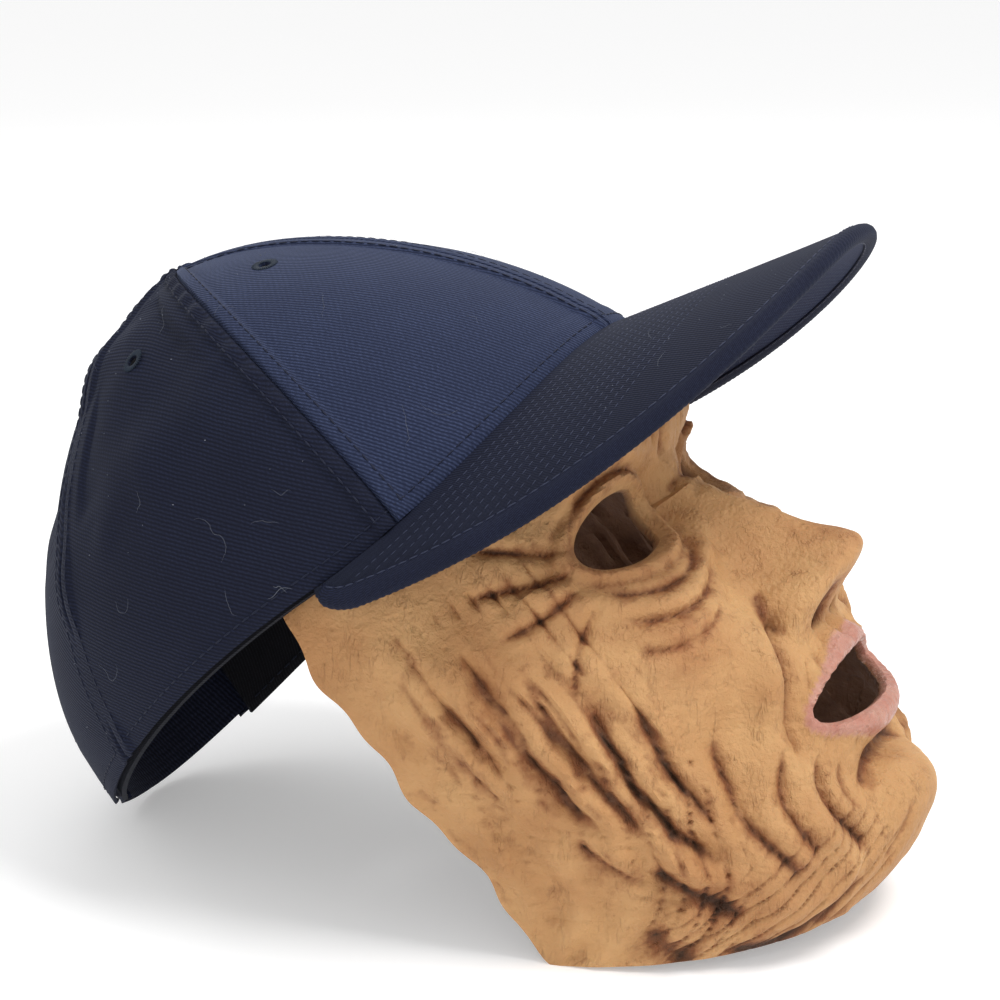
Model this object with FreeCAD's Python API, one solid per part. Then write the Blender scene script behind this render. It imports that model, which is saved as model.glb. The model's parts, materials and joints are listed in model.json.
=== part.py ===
"""Latex half mask sewn inside a twill baseball cap.

Millimetres. Pieces are laid out on the wearer's head: x the way the face looks, y to the wearer's left,
z up the head, from the centre of the sweatband ring. resting_place then tips the whole mask back onto the
table and puts the origin under the middle of its bounding box, with +Z up.
Every sheet-like piece is a thin solid between two offset surfaces that a formula gives.
"""

import FreeCAD, Part

import math
import os

V = FreeCAD.Vector

# Crown: half lengths of its plan at the ring, and its height above the ring.
CROWN_FRONT = 107.0
CROWN_BACK = 102.0
CROWN_SIDE = 83.0
CROWN_HEIGHT = 95.5
CROWN_FRONT_POWER = 1.52  # superellipse powers of the three profiles
CROWN_BACK_POWER = 1.6
CROWN_SIDE_POWER = 1.9
NAPE_POWER = 1.85  # superellipse power of the back half's plan
KNOT_AHEAD = 5.0  # the top leans this far forward
CROWN_EYE = 0.985  # share of the quarter turn that a panel covers before the knot at the top
HEM_BACK = -21.5  # the hem sags at the nape
SEAM_FRONT_DEG = 58.0  # seam between front and side panel, from straight ahead
SEAM_BACK_DEG = 121.0

# Depths below the crown's outer face, each (outer, inner).
PANEL = (0.0, 1.0)
BUCKRAM = (1.2, 2.0)
TAPE = (2.2, 2.7)
SWEATBAND = (2.9, 4.3)
TAPE_WIDTH = 13.0
TAPE_LOW, TAPE_LOW_AT_ARCH, TAPE_TOP = 0.05, 0.3, 0.87  # levels between hem and knot
SWEATBAND_HEIGHT = 30.0
SWEATBAND_PROUD = 1.2  # how far the band shows below the hem

# Visor: a sheet bent round a cylinder whose axis runs fore and aft, pitched down towards its tip.
VISOR_RADIUS = 117.0
VISOR_PITCH = math.tan(math.radians(12.5))
VISOR_CORNER_X = 31.0
VISOR_REACH = 67.0  # from the crown's front to the tip
VISOR_HALF_WIDTH = 84.5
VISOR_POWER = 2.3
VISOR_JOIN_Z = 12.0  # height of the join straight ahead
JOIN_GAP = 0.3  # between the visor's inner edge and the crown
VISOR_END = 0.995  # share of the outline that is kept before each corner
VISOR_ROUNDING = 0.05  # last share of the outline, where the corner is rounded
BOARD_HALF = 0.9
VISOR_CLOTH = (1.1, 1.9)  # offsets from the board's middle
PIPING_HALF = 2.2
BOARD_EDGE, CLOTH_EDGE, PIPING_EDGES = -3.2, -1.8, (-1.6, 0.0)  # margins from the visor's outline

# Rear closure: an arch cut in the back panels, bridged by a hook strap and a loop strap.
ARCH_RADIUS = 38.0
ARCH_CENTRE_Z = HEM_BACK + 2.0
BINDING = (-0.35, 1.2)
BINDING_WIDTH = 1.6
BINDING_START_DEG = 36.0  # the bead ends just above the straps
STRAP_ABOVE_HEM = 1.5
STRAP_HEIGHT = 19.0
PATCH_MARGIN = 1.5
STRAP_INSIDE = (1.5, 2.4)  # both straps are sewn behind the panels at this depth
LOOP_PATCH = (0.5, 1.25)
HOOK_PATCH = (-0.35, 0.3)
TAB_OUTSIDE = (-1.5, -0.6)  # the tab's depth where it lies over the loop strap
TAB_FOLD_Y = -31.0  # the hook strap folds here when it is peeled open
TAB_STEP_END_Y = -20.0
TAB_END_Y = 28.0
TAB_GAP = 0.8
STRAP_ROOT_Y = 50.0
LOOP_STRAP_END_Y = -22.0
PATCH_HALF = 19.0  # half length of the hook and the loop patches

# Mask: each section is a half superellipse from the trimmed rear edge to a point of the middle line.
LATEX = 2.6
REAR_EDGE_TOP = (15.0, 12.0)  # x, z
JAW_TIP = (18.0, -113.5)
SECTION_POWER = 2.0
SECTION_FULLNESS = 0.35  # added to the power half way down the face
# Middle line without the nose, from the brow's hidden top edge to the throat: x, half width, z.
MIDDLE_LINE = (
    (92.5, 71.5, 22.0),
    (97.0, 73.0, 8.0),
    (100.5, 75.0, -13.0),
    (96.0, 75.5, -27.0),
    (98.5, 76.0, -48.0),
    (103.5, 74.0, -68.0),
    (106.0, 72.5, -78.0),
    (109.0, 71.0, -90.0),
    (106.0, 70.0, -98.5),
    (107.5, 69.0, -107.0),
    (101.0, 68.0, -117.0),
    (104.5, 66.0, -129.0),
    (96.0, 64.5, -142.0),
    (76.0, 63.5, -149.0),
)
NOSE_ROOT_Z, NOSE_TIP_Z, NOSE_BASE_Z = -22.0, -66.0, -80.0
NOSE_HEIGHT = 24.0
NOSE_HALF_WIDTH = 13.5
EYE_Y, EYE_Z, EYE_HALF_WIDTH, EYE_HALF_HEIGHT = 33.0, -31.0, 16.0, 9.0
MOUTH_Z, MOUTH_HALF_WIDTH, MOUTH_HALF_HEIGHT = -98.5, 26.0, 7.5

EYELET_HOLE = 1.8
EYELET_RING = (1.9, 3.6)
EYELET_LEVEL = 0.62  # share of the way up a panel
TACK_COUNT = 9
KNOT_RADIUS, KNOT_HEIGHT = 2.6, 1.1


def smooth(t):
    t = max(0.0, min(1.0, t))
    return t * t * (3.0 - 2.0 * t)


def crown_radius(height, reach, power):
    """Half length of the crown's plan at a height, for one of its profiles."""
    up = max(0.0, height) / CROWN_HEIGHT
    return reach * (1.0 - min(1.0, up) ** power) ** (1.0 / power)


def crown_at(angle, height):
    """Point of the crown's outer face at an angle from straight ahead (radians, left positive)."""
    ahead = math.cos(angle) >= 0.0
    reach, power = (CROWN_FRONT, CROWN_FRONT_POWER) if ahead else (CROWN_BACK, CROWN_BACK_POWER)
    plan = 2.0 if ahead else NAPE_POWER
    radius = (abs(math.cos(angle)) ** plan + abs(math.sin(angle)) ** plan) ** (-1.0 / plan)
    lean = KNOT_AHEAD * (max(0.0, height) / CROWN_HEIGHT) ** 2
    return V(
        crown_radius(height, reach, power) * math.cos(angle) * radius + lean,
        crown_radius(height, CROWN_SIDE, CROWN_SIDE_POWER) * math.sin(angle) * radius,
        height,
    )


def visor_height(x, y):
    """Middle of the visor board above the plan point x, y."""
    drop = VISOR_RADIUS - math.sqrt(VISOR_RADIUS**2 - y * y)
    return VISOR_JOIN_Z + VISOR_PITCH * (CROWN_FRONT - x) - drop


CORNER_ANGLE = math.acos(VISOR_CORNER_X / CROWN_FRONT)


def hem_height(angle):
    """Height of the crown's lower edge: it rides over the visor, then sags to the nape."""
    turn = abs(angle)
    over = min(turn, CORNER_ANGLE)
    edge = visor_height(CROWN_FRONT * math.cos(over), CROWN_SIDE * math.sin(over)) + VISOR_CLOTH[1] + JOIN_GAP
    if turn <= CORNER_ANGLE:
        return edge
    back = smooth((turn - CORNER_ANGLE) / (math.pi - CORNER_ANGLE))
    return edge + (HEM_BACK - edge) * back


def crown_outer(angle, level):
    """Crown's outer face; level runs from 0 at the hem to 1 at the knot."""
    hem = hem_height(angle)
    return crown_at(angle, hem + (CROWN_HEIGHT - hem) * math.sin(level * CROWN_EYE * math.pi / 2.0))


def normal_of(surface, u, v, step_u, step_v):
    """Unit normal of a surface function, by differences that stay inside its ranges."""
    along = surface(u + step_u, v) - surface(u - step_u, v)
    across = surface(u, v + step_v) - surface(u, v - step_v)
    return along.cross(across).normalize()


def crown(angle, level, depth):
    """Point at a depth below the crown's outer face."""
    safe = min(max(level, 0.004), 0.996)
    outward = normal_of(crown_outer, angle, safe, 0.01, 0.004)
    return crown_outer(angle, level) - outward * depth


def face_grid(surface, count_u, count_v):
    """B-spline face through a grid of points of surface(u, v), u and v from 0 to 1."""
    rows = [
        [surface(i / (count_u - 1.0), j / (count_v - 1.0)) for j in range(count_v)] for i in range(count_u)
    ]
    sheet = Part.BSplineSurface()
    sheet.interpolate(rows)
    return sheet


def sheet_solid(outer, inner, count_u=13, count_v=13):
    """Solid between two surface functions, closed by ruled strips along its four edges."""
    skins = [face_grid(outer, count_u, count_v), face_grid(inner, count_u, count_v)]
    first_u, last_u, first_v, last_v = skins[0].bounds()
    faces = [skin.toShape() for skin in skins]
    for end in (first_u, last_u):
        faces.append(Part.makeRuledSurface(*[skin.uIso(end).toShape() for skin in skins]))
    for end in (first_v, last_v):
        faces.append(Part.makeRuledSurface(*[skin.vIso(end).toShape() for skin in skins]))
    joined = Part.Compound(faces)
    joined.sewShape()
    solid = Part.makeSolid(joined.Shells[0] if joined.Shells else Part.makeShell(joined.Faces))
    if solid.Volume < 0:
        solid.reverse()
    return solid


def crown_patch(from_angle, to_angle, from_level, to_level, depths, count_u=13, count_v=13):
    """Part of the crown between two angles and two levels, between two depths."""

    def skin(depth):
        return lambda u, v: crown(
            from_angle + (to_angle - from_angle) * u, from_level + (to_level - from_level) * v, depth
        )

    return sheet_solid(skin(depths[0]), skin(depths[1]), count_u, count_v)


def rod(point, direction, radius, length):
    """Cylinder centred on a point, along a direction."""
    axis = V(direction).normalize()
    return Part.makeCylinder(radius, length, point - axis * (length / 2.0), axis)


def eyelet_place(middle_deg):
    angle = math.radians(middle_deg)
    outward = normal_of(crown_outer, angle, EYELET_LEVEL, 0.01, 0.004)
    return crown_outer(angle, EYELET_LEVEL), outward


def arch_tool():
    """Cutter for the rear opening: a round-topped slot through both back panels."""
    reach = CROWN_BACK + 10.0
    axis_start = V(-reach, 0, ARCH_CENTRE_Z)
    round_top = Part.makeCylinder(ARCH_RADIUS, reach - 40.0, axis_start, V(1, 0, 0))
    below = Part.makeBox(reach - 40.0, 2 * ARCH_RADIUS, 30.0, V(-reach, -ARCH_RADIUS, ARCH_CENTRE_Z - 30.0))
    return round_top.fuse(below)


def panels():
    """Six twill panels, with their eyelet holes and the rear arch."""
    front, back = math.radians(SEAM_FRONT_DEG), math.radians(SEAM_BACK_DEG)
    spans = {
        "front_panel_left": (0.0, front),
        "side_panel_left": (front, back),
        "back_panel_left": (back, math.pi),
        "front_panel_right": (-front, 0.0),
        "side_panel_right": (-back, -front),
        "back_panel_right": (-math.pi, -back),
    }
    made = {}
    for name, (start, end) in spans.items():
        panel = crown_patch(start, end, 0.0, 1.0, PANEL)
        spot, outward = eyelet_place(math.degrees((start + end) / 2.0))
        panel = panel.cut(rod(spot, outward, EYELET_HOLE, 8.0))
        if name.startswith("back"):
            panel = panel.cut(arch_tool())
        made[name] = panel
    return made


def eyelets():
    """Thread rings sewn round the six vent holes, on the outer face."""
    rings = []
    for middle in (SEAM_FRONT_DEG / 2, (SEAM_FRONT_DEG + SEAM_BACK_DEG) / 2, (180 + SEAM_BACK_DEG) / 2):
        for side in (1, -1):
            spot, outward = eyelet_place(side * middle)
            base = spot + outward * 0.25
            ring = Part.makeCylinder(EYELET_RING[1], 0.7, base, outward)
            rings.append(ring.cut(Part.makeCylinder(EYELET_RING[0], 0.7, base, outward)))
    return Part.Compound(rings)


def crown_knot():
    """Domed thread knot on top, where the six seams meet."""
    knot = Part.makeCylinder(KNOT_RADIUS, KNOT_HEIGHT, V(KNOT_AHEAD, 0, CROWN_HEIGHT + 0.1))
    rim = [edge for edge in knot.Edges if edge.BoundBox.ZMin > CROWN_HEIGHT + KNOT_HEIGHT - 0.1]
    return knot.makeFillet(0.7 * KNOT_HEIGHT, rim)


def buckram(side):
    """Stiffener behind one front panel."""
    edge = math.radians(SEAM_FRONT_DEG - 2.0)
    span = (0.012, edge) if side > 0 else (-edge, -0.012)
    return crown_patch(*span, 0.03, 0.78, BUCKRAM)


def seam_tape(*turns):
    """Tape that covers two opposite seams inside the crown, in two lengths that stop short of the knot."""
    lengths = []
    for turn in turns:
        low = TAPE_LOW_AT_ARCH if turn == 180.0 else TAPE_LOW

        def skin(depth, middle=math.radians(turn), low=low):
            def at(u, v):
                level = low + (TAPE_TOP - low) * v
                seam = crown_outer(middle, level)
                return crown(middle + (u - 0.5) * TAPE_WIDTH / math.hypot(seam.x - KNOT_AHEAD, seam.y), level, depth)

            return at

        lengths.append(sheet_solid(skin(TAPE[0]), skin(TAPE[1]), 5, 13))
    return Part.Compound(lengths)


def sweatband():
    """Band round the inside of the hem, open at the rear arch."""
    end = math.pi - math.asin((ARCH_RADIUS + 3.0) / CROWN_SIDE)

    def skin(depth):
        def at(u, v):
            angle = end * (2.0 * u - 1.0)
            hem = hem_height(angle)
            height = hem - SWEATBAND_PROUD + SWEATBAND_HEIGHT * v
            level = math.asin(max(0.0, height - hem) / (CROWN_HEIGHT - hem)) / (CROWN_EYE * math.pi / 2.0)
            place = crown(angle, level, depth)
            return V(place.x, place.y, place.z + min(0.0, height - hem))

        return at

    return sheet_solid(skin(SWEATBAND[0]), skin(SWEATBAND[1]), 41, 7)


def back_at(y, height, depth):
    """Point of the nape at a sideways place and a height, at a depth below the crown's outer face."""
    angle = math.pi - math.asin(y / CROWN_SIDE)
    outward = normal_of(crown_at, angle, height, 0.01, 0.5)
    return crown_at(angle, height) - outward * depth


def strap_at(y, rise, depth):
    """Point of a strap at a rise above its lower edge, which runs along the hem."""
    hem = hem_height(math.pi - math.asin(abs(y) / CROWN_SIDE))
    return back_at(y, hem + STRAP_ABOVE_HEM + rise, depth)


def strap(from_y, to_y, depths, margin=0.0):
    """Curved band across the nape. Its depths may be a function of the sideways place."""

    def skin(side):
        def at(u, v):
            y = to_y + (from_y - to_y) * u
            depth = depths(y)[side] if callable(depths) else depths[side]
            return strap_at(y, margin + (STRAP_HEIGHT - 2.0 * margin) * v, depth)

        return at

    return sheet_solid(skin(0), skin(1), 25, 5)


def tab_depths(y):
    """The tab comes from behind the panel and steps out over the loop strap."""
    out = smooth((y - TAB_FOLD_Y) / (TAB_STEP_END_Y - TAB_FOLD_Y))
    return [inside + (outside - inside) * out for inside, outside in zip(STRAP_INSIDE, TAB_OUTSIDE)]


def closure():
    """Hook-and-loop closure. The hook strap's free tab is a piece of its own, because it peels open."""
    return {
        "loop_strap": strap(LOOP_STRAP_END_Y, STRAP_ROOT_Y, STRAP_INSIDE),
        "loop_patch": strap(-PATCH_HALF, PATCH_HALF, LOOP_PATCH, PATCH_MARGIN),
        "hook_patch": strap(-PATCH_HALF, PATCH_HALF, HOOK_PATCH, PATCH_MARGIN),
        "hook_strap_tab": strap(TAB_FOLD_Y, TAB_END_Y, tab_depths),
        "hook_strap_root": strap(-STRAP_ROOT_Y, TAB_FOLD_Y - TAB_GAP, STRAP_INSIDE),
    }


def arch_binding():
    """Bead of bias tape that covers the raw edge of the rear arch."""
    start = math.radians(BINDING_START_DEG)

    def skin(depth):
        def at(u, v):
            turn = start + (math.pi - 2.0 * start) * u
            radius = ARCH_RADIUS - 0.15 - BINDING_WIDTH * v
            return back_at(radius * math.cos(turn), ARCH_CENTRE_Z + radius * math.sin(turn), depth)

        return at

    return sheet_solid(skin(BINDING[0]), skin(BINDING[1]), 25, 4)


def superellipse(angle, power):
    """Unit superellipse point in a direction, with even spacing near its ends."""
    cosine, sine = max(0.0, math.cos(angle)), math.sin(angle)
    radius = (cosine**power + abs(sine) ** power) ** (-1.0 / power)
    return cosine * radius, sine * radius


def visor_plan(turn, margin):
    """Plan point of the visor's outline, from one corner (-1) to the other (1)."""
    ahead, aside = superellipse(turn * math.pi / 2.0, VISOR_POWER)
    angle = turn * CORNER_ANGLE
    join = crown_at(angle, hem_height(angle))
    inner = join.x + JOIN_GAP * math.cos(angle), join.y + JOIN_GAP * math.sin(angle)
    outer = (
        VISOR_CORNER_X + (CROWN_FRONT + VISOR_REACH - VISOR_CORNER_X + margin) * ahead,
        (VISOR_HALF_WIDTH + margin) * aside,
    )
    end = max(0.0, (abs(turn) - 1.0 + VISOR_ROUNDING) / VISOR_ROUNDING)
    kept = math.sqrt(1.0 - end * end)
    return inner, tuple(a + (b - a) * kept for a, b in zip(inner, outer))


def visor_layer(offsets, margin, inner_margin=None):
    """Layer of the visor between two offsets from the board's middle, from the crown or a margin outwards."""

    def skin(offset):
        def at(u, v):
            turn = VISOR_END * math.sin((u - 0.5) * math.pi)
            inner, outer = visor_plan(turn, margin)
            if inner_margin is not None:
                inner = visor_plan(turn, inner_margin)[1]
            x, y = (a + (b - a) * v for a, b in zip(inner, outer))
            slope = V(VISOR_PITCH, y / math.sqrt(VISOR_RADIUS**2 - y * y), 1.0).normalize()
            return V(x, y, visor_height(x, y)) + slope * offset

        return at

    return sheet_solid(skin(offsets[1]), skin(offsets[0]), 49, 9)


MIDDLE_CURVE = Part.BSplineCurve()
MIDDLE_CURVE.interpolate([V(*point) for point in MIDDLE_LINE])


def nose(y, height):
    """How far the nose stands out of the face."""
    if height > NOSE_TIP_Z:
        rise = smooth((NOSE_ROOT_Z - height) / (NOSE_ROOT_Z - NOSE_TIP_Z))
    else:
        rise = smooth((height - NOSE_BASE_Z) / (NOSE_TIP_Z - NOSE_BASE_Z))
    width = NOSE_HALF_WIDTH * (0.6 + 0.4 * rise)
    return NOSE_HEIGHT * rise * math.exp(-((y / width) ** 2))


def mask_outer(u, v):
    """Mask's outer face; u runs from the right edge to the left edge and v from the top to the jaw."""
    first, last = MIDDLE_CURVE.FirstParameter, MIDDLE_CURVE.LastParameter
    middle = MIDDLE_CURVE.value(first + (last - first) * v)
    rear_x, rear_z = (a + (b - a) * v for a, b in zip(REAR_EDGE_TOP, JAW_TIP))
    power = SECTION_POWER + SECTION_FULLNESS * math.sin(math.pi * v) ** 3
    ahead, aside = superellipse((u - 0.5) * math.pi, power)
    y = middle.y * aside
    height = rear_z + (middle.z - rear_z) * ahead
    return V(rear_x + (middle.x - rear_x) * ahead + nose(y, height), y, height)


def mask_inner(u, v):
    inward = normal_of(mask_outer, min(max(u, 0.005), 0.995), min(max(v, 0.008), 0.992), 0.005, 0.008)
    return mask_outer(u, v) + inward * LATEX


def oval(y, height, half_width, half_height):
    """Oval cutter that runs fore and aft through the front of the mask."""
    base = V(40.0, y, height)
    ellipse = Part.Ellipse(base + V(0, half_width, 0), base + V(0, 0, half_height), base)
    return Part.Face(Part.Wire(ellipse.toShape())).extrude(V(120.0, 0, 0))


def latex_face():
    """One-piece latex casting with its eye holes and mouth."""
    skin = sheet_solid(mask_outer, mask_inner, 49, 61)
    for side in (1, -1):
        skin = skin.cut(oval(side * EYE_Y, EYE_Z, EYE_HALF_WIDTH, EYE_HALF_HEIGHT))
    return skin.cut(oval(0.0, MOUTH_Z, MOUTH_HALF_WIDTH, MOUTH_HALF_HEIGHT))


def tack_stitches():
    """Inner runs of the thread tacks that hold the mask to the sweatband."""
    bars = []
    for index in range(TACK_COUNT):
        u = 0.06 + 0.88 * index / (TACK_COUNT - 1.0)
        here, beside = mask_inner(u, 0.05), mask_inner(u + 0.004, 0.05)
        inward = (here - mask_outer(u, 0.05)).normalize()
        bars.append(rod(here + inward * 0.9, beside - here, 0.45, 5.0))
    return Part.Compound(bars)


def resting_place(shapes):
    """Tip the head back until the jaw and the nape share a level, then stand the box on the origin."""
    tilt = math.atan2(HEM_BACK - SWEATBAND_PROUD - JAW_TIP[1], CROWN_BACK + JAW_TIP[0])
    tip = FreeCAD.Placement(V(0, 0, 0), FreeCAD.Rotation(V(0, 1, 0), -math.degrees(tilt)))
    turned = [shape.copy() for shape in shapes]
    for shape in turned:
        shape.Placement = tip
    box = Part.Compound(turned).optimalBoundingBox(True, False)
    return FreeCAD.Placement(V(-box.Center.x, 0, -box.ZMin), tip.Rotation), box


def report_fold(place):
    """Print where the tab's fold lies and how its axis runs."""
    middle = strap_at(TAB_FOLD_Y, STRAP_HEIGHT / 2.0, sum(STRAP_INSIDE) / 2.0)
    print("tab fold at", place.multVec(middle), "along", place.Rotation.multVec(V(0, 0, 1)))


def main():
    os.makedirs("parts", exist_ok=True)
    nodes = panels()
    nodes["sewn_eyelets"] = eyelets()
    nodes["crown_knot"] = crown_knot()
    nodes["front_buckram_left"] = buckram(1)
    nodes["front_buckram_right"] = buckram(-1)
    nodes["seam_tape_centre"] = seam_tape(0.0, 180.0)
    nodes["seam_tape_left_front"] = seam_tape(SEAM_FRONT_DEG, -SEAM_BACK_DEG)
    nodes["seam_tape_right_front"] = seam_tape(-SEAM_FRONT_DEG, SEAM_BACK_DEG)
    nodes["sweatband"] = sweatband()
    nodes["arch_binding"] = arch_binding()
    nodes.update(closure())
    nodes["visor_board"] = visor_layer((-BOARD_HALF, BOARD_HALF), BOARD_EDGE)
    nodes["visor_top_cloth"] = visor_layer(VISOR_CLOTH, CLOTH_EDGE)
    nodes["visor_under_cloth"] = visor_layer((-VISOR_CLOTH[1], -VISOR_CLOTH[0]), CLOTH_EDGE)
    nodes["visor_piping"] = visor_layer((-PIPING_HALF, PIPING_HALF), PIPING_EDGES[1], PIPING_EDGES[0])
    nodes["latex_face"] = latex_face()
    nodes["tack_stitches"] = tack_stitches()
    place, box = resting_place(nodes.values())
    for name, shape in nodes.items():
        shape.Placement = place
        print(name, "valid" if shape.isValid() else "INVALID", len(shape.Solids), round(shape.Volume, 1))
        shape.exportStep(f"parts/{name}.step")
    print("whole size", box.XLength, box.YLength, box.ZLength)
    print("head origin at", place.Base)
    report_fold(place)


main()
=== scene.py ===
import json
import math

import bmesh
import bpy
import numpy as np
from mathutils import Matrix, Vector, noise


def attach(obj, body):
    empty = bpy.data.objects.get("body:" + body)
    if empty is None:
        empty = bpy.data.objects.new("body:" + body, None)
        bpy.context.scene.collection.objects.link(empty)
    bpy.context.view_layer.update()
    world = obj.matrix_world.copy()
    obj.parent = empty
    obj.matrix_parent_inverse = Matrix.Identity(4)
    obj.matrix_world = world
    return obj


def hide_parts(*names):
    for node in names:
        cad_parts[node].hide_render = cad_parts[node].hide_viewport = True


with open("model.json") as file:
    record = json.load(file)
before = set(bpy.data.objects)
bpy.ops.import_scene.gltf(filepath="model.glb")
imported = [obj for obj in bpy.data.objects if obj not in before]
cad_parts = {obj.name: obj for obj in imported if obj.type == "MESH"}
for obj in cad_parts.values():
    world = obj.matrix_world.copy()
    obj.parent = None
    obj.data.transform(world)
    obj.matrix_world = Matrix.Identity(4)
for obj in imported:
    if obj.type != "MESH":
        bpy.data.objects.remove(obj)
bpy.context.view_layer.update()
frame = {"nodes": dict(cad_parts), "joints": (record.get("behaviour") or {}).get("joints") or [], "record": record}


# ---------------------------------------------------------------- the head's own frame
# The mask rests tipped back. Every piece is laid out on the wearer's head, with x forward, y to the left
# and z up through the crown, and is then turned into the resting frame.

HEAD_UP = Vector(frame["joints"][0]["axis"]).normalized()
HEAD_FORWARD = Vector((HEAD_UP.z, 0.0, -HEAD_UP.x))
HEAD_ORIGIN = Vector(frame["record"]["mounts"][0]["pos_m"])


def on_rest(points):
    """Head coordinates, one row each, as resting coordinates."""
    points = np.asarray(points, float)
    forward, up = np.array(HEAD_FORWARD), np.array(HEAD_UP)
    side = np.array((0.0, 1.0, 0.0))
    turned = points[..., :1] * forward + points[..., 1:2] * side + points[..., 2:3] * up
    return turned + np.array(HEAD_ORIGIN)


# ---------------------------------------------------------------- camera, light and floor
# A long lens from the wearer's right and a little above, a large soft light from above the visor,
# a weaker one from the left, and a pale floor.

CAMERA_TURN = 0.383
CAMERA_RISE = 0.271
CAMERA_DISTANCE = 0.6729
CAMERA_LENS = 88.58
CAMERA_AIM = (0.0429, 0.0, 0.0232)
SKY_STRENGTH = (0.72, 0.8)
FLOOR_SIZE, FLOOR_GLOW = 8.0, 0.3


def new_paint(name):
    """A material with nodes, its node tree and its shader."""
    paint = bpy.data.materials.new(name)
    paint.use_nodes = True
    return paint, paint.node_tree, paint.node_tree.nodes["Principled BSDF"]


def set_inputs(node, values):
    for name, value in values.items():
        node.inputs[name].default_value = value


away = Vector((
    math.sin(CAMERA_TURN) * math.cos(CAMERA_RISE),
    -math.cos(CAMERA_TURN) * math.cos(CAMERA_RISE),
    math.sin(CAMERA_RISE),
))
aim = HEAD_ORIGIN + Vector(CAMERA_AIM)
camera = bpy.data.objects.new("camera", bpy.data.cameras.new("camera"))
camera.data.lens = CAMERA_LENS
camera.data.sensor_width = 36.0
camera.location = aim + away * CAMERA_DISTANCE
camera.rotation_euler = away.to_track_quat("Z", "Y").to_euler()
camera.data.clip_start = 0.01
bpy.context.scene.collection.objects.link(camera)
bpy.context.scene.camera = camera
bpy.context.scene.view_settings.view_transform = "Standard"

for light_name, place, size, power in (
    ("key_light", (0.6, -0.1, 1.25), 0.5, 11.0),
    ("right_light", (0.35, -1.3, 0.75), 0.9, 2.5),
    ("rear_light", (-0.5, 0.9, 1.0), 0.9, 3.0),
):
    light = bpy.data.objects.new(light_name, bpy.data.lights.new(light_name, "AREA"))
    light.data.shape = "DISK"
    light.data.size = size
    light.data.energy = power
    light.location = place
    light.rotation_euler = (Vector(place) - aim).to_track_quat("Z", "Y").to_euler()
    bpy.context.scene.collection.objects.link(light)

world = bpy.data.worlds.new("studio")
world.use_nodes = True
sky_place = world.node_tree.nodes.new("ShaderNodeTexCoord")
sky_height = world.node_tree.nodes.new("ShaderNodeSeparateXYZ")
sky_strength = world.node_tree.nodes.new("ShaderNodeMapRange")
set_inputs(sky_strength, {"To Min": SKY_STRENGTH[0], "To Max": SKY_STRENGTH[1]})
world.node_tree.links.new(sky_place.outputs["Generated"], sky_height.inputs[0])
world.node_tree.links.new(sky_height.outputs["Z"], sky_strength.inputs["Value"])
sky = world.node_tree.nodes["Background"]
world.node_tree.links.new(sky_strength.outputs[0], sky.inputs["Strength"])
set_inputs(sky, {"Color": (1.0, 1.0, 1.0, 1.0)})
bpy.context.scene.world = world

bpy.ops.object.select_all(action="DESELECT")
bpy.ops.mesh.primitive_plane_add(size=FLOOR_SIZE, location=(0.0, 0.0, 0.0))
floor = bpy.context.object
floor.name = "studio_floor"
floor_paint, _, floor_shader = new_paint("pale_floor")
set_inputs(floor_shader, {
    "Base Color": (0.8, 0.8, 0.8, 1.0),
    "Emission Color": (1.0, 1.0, 1.0, 1.0),
    "Emission Strength": FLOOR_GLOW,
    "Roughness": 0.8,
})
floor.data.materials.append(floor_paint)


# ---------------------------------------------------------------- crown panels
# Six gores of navy cotton twill, seamed edge to edge. The two front ones are fused to a stiffener and
# stay smooth; the other four are single cloth and sag into dents. Each seam stands up over its allowance.

CROWN_FRONT, CROWN_BACK, CROWN_SIDE, CROWN_HEIGHT = 0.107, 0.102, 0.083, 0.0955
FRONT_POWER, BACK_POWER, SIDE_POWER, NAPE_POWER = 1.52, 1.6, 1.9, 1.85
KNOT_AHEAD = 0.005
PANEL_TOP = 0.985
HEM_BACK = -0.0215
SEAM_FRONT, SEAM_BACK = math.radians(58.0), math.radians(121.0)
SEAM_ANGLES = (0.0, SEAM_FRONT, SEAM_BACK, math.pi)
SEAM_GROOVE, SEAM_SWELL, SEAM_ALLOWANCE = 0.0006, 0.0011, 0.0035
BIG_DENTS, SMALL_DENTS, BACK_WAVES, BACK_SAG = 0.0034, 0.0018, 0.0022, 0.0025
PUCKER_DEPTH, PUCKER_REACH = 0.0005, 0.009
HEM_ROLL, HEM_FOLD, HEM_FOLD_LEVEL = 0.0006, 0.0004, 0.05
ARCH_CLEAR, LINED_DENT, FREE_DENT = 0.040, 0.0003, 0.004
HEM_OVER_VISOR = 0.0022
CLOTH_THICKNESS = 0.0009
GORE_COLUMNS, GORE_ROWS = 104, 132
VISOR_RADIUS, VISOR_PITCH = 0.117, math.tan(math.radians(12.5))
VISOR_CORNER_X, VISOR_JOIN_Z = 0.031, 0.012
CORNER_ANGLE = math.acos(VISOR_CORNER_X / CROWN_FRONT)
TWILL_PITCH = 0.00098


def eased(t):
    t = np.clip(t, 0.0, 1.0)
    return t * t * (3.0 - 2.0 * t)


def profile(height, reach, power):
    up = np.clip(height / CROWN_HEIGHT, 0.0, 1.0)
    return reach * (1.0 - up**power) ** (1.0 / power)


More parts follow.
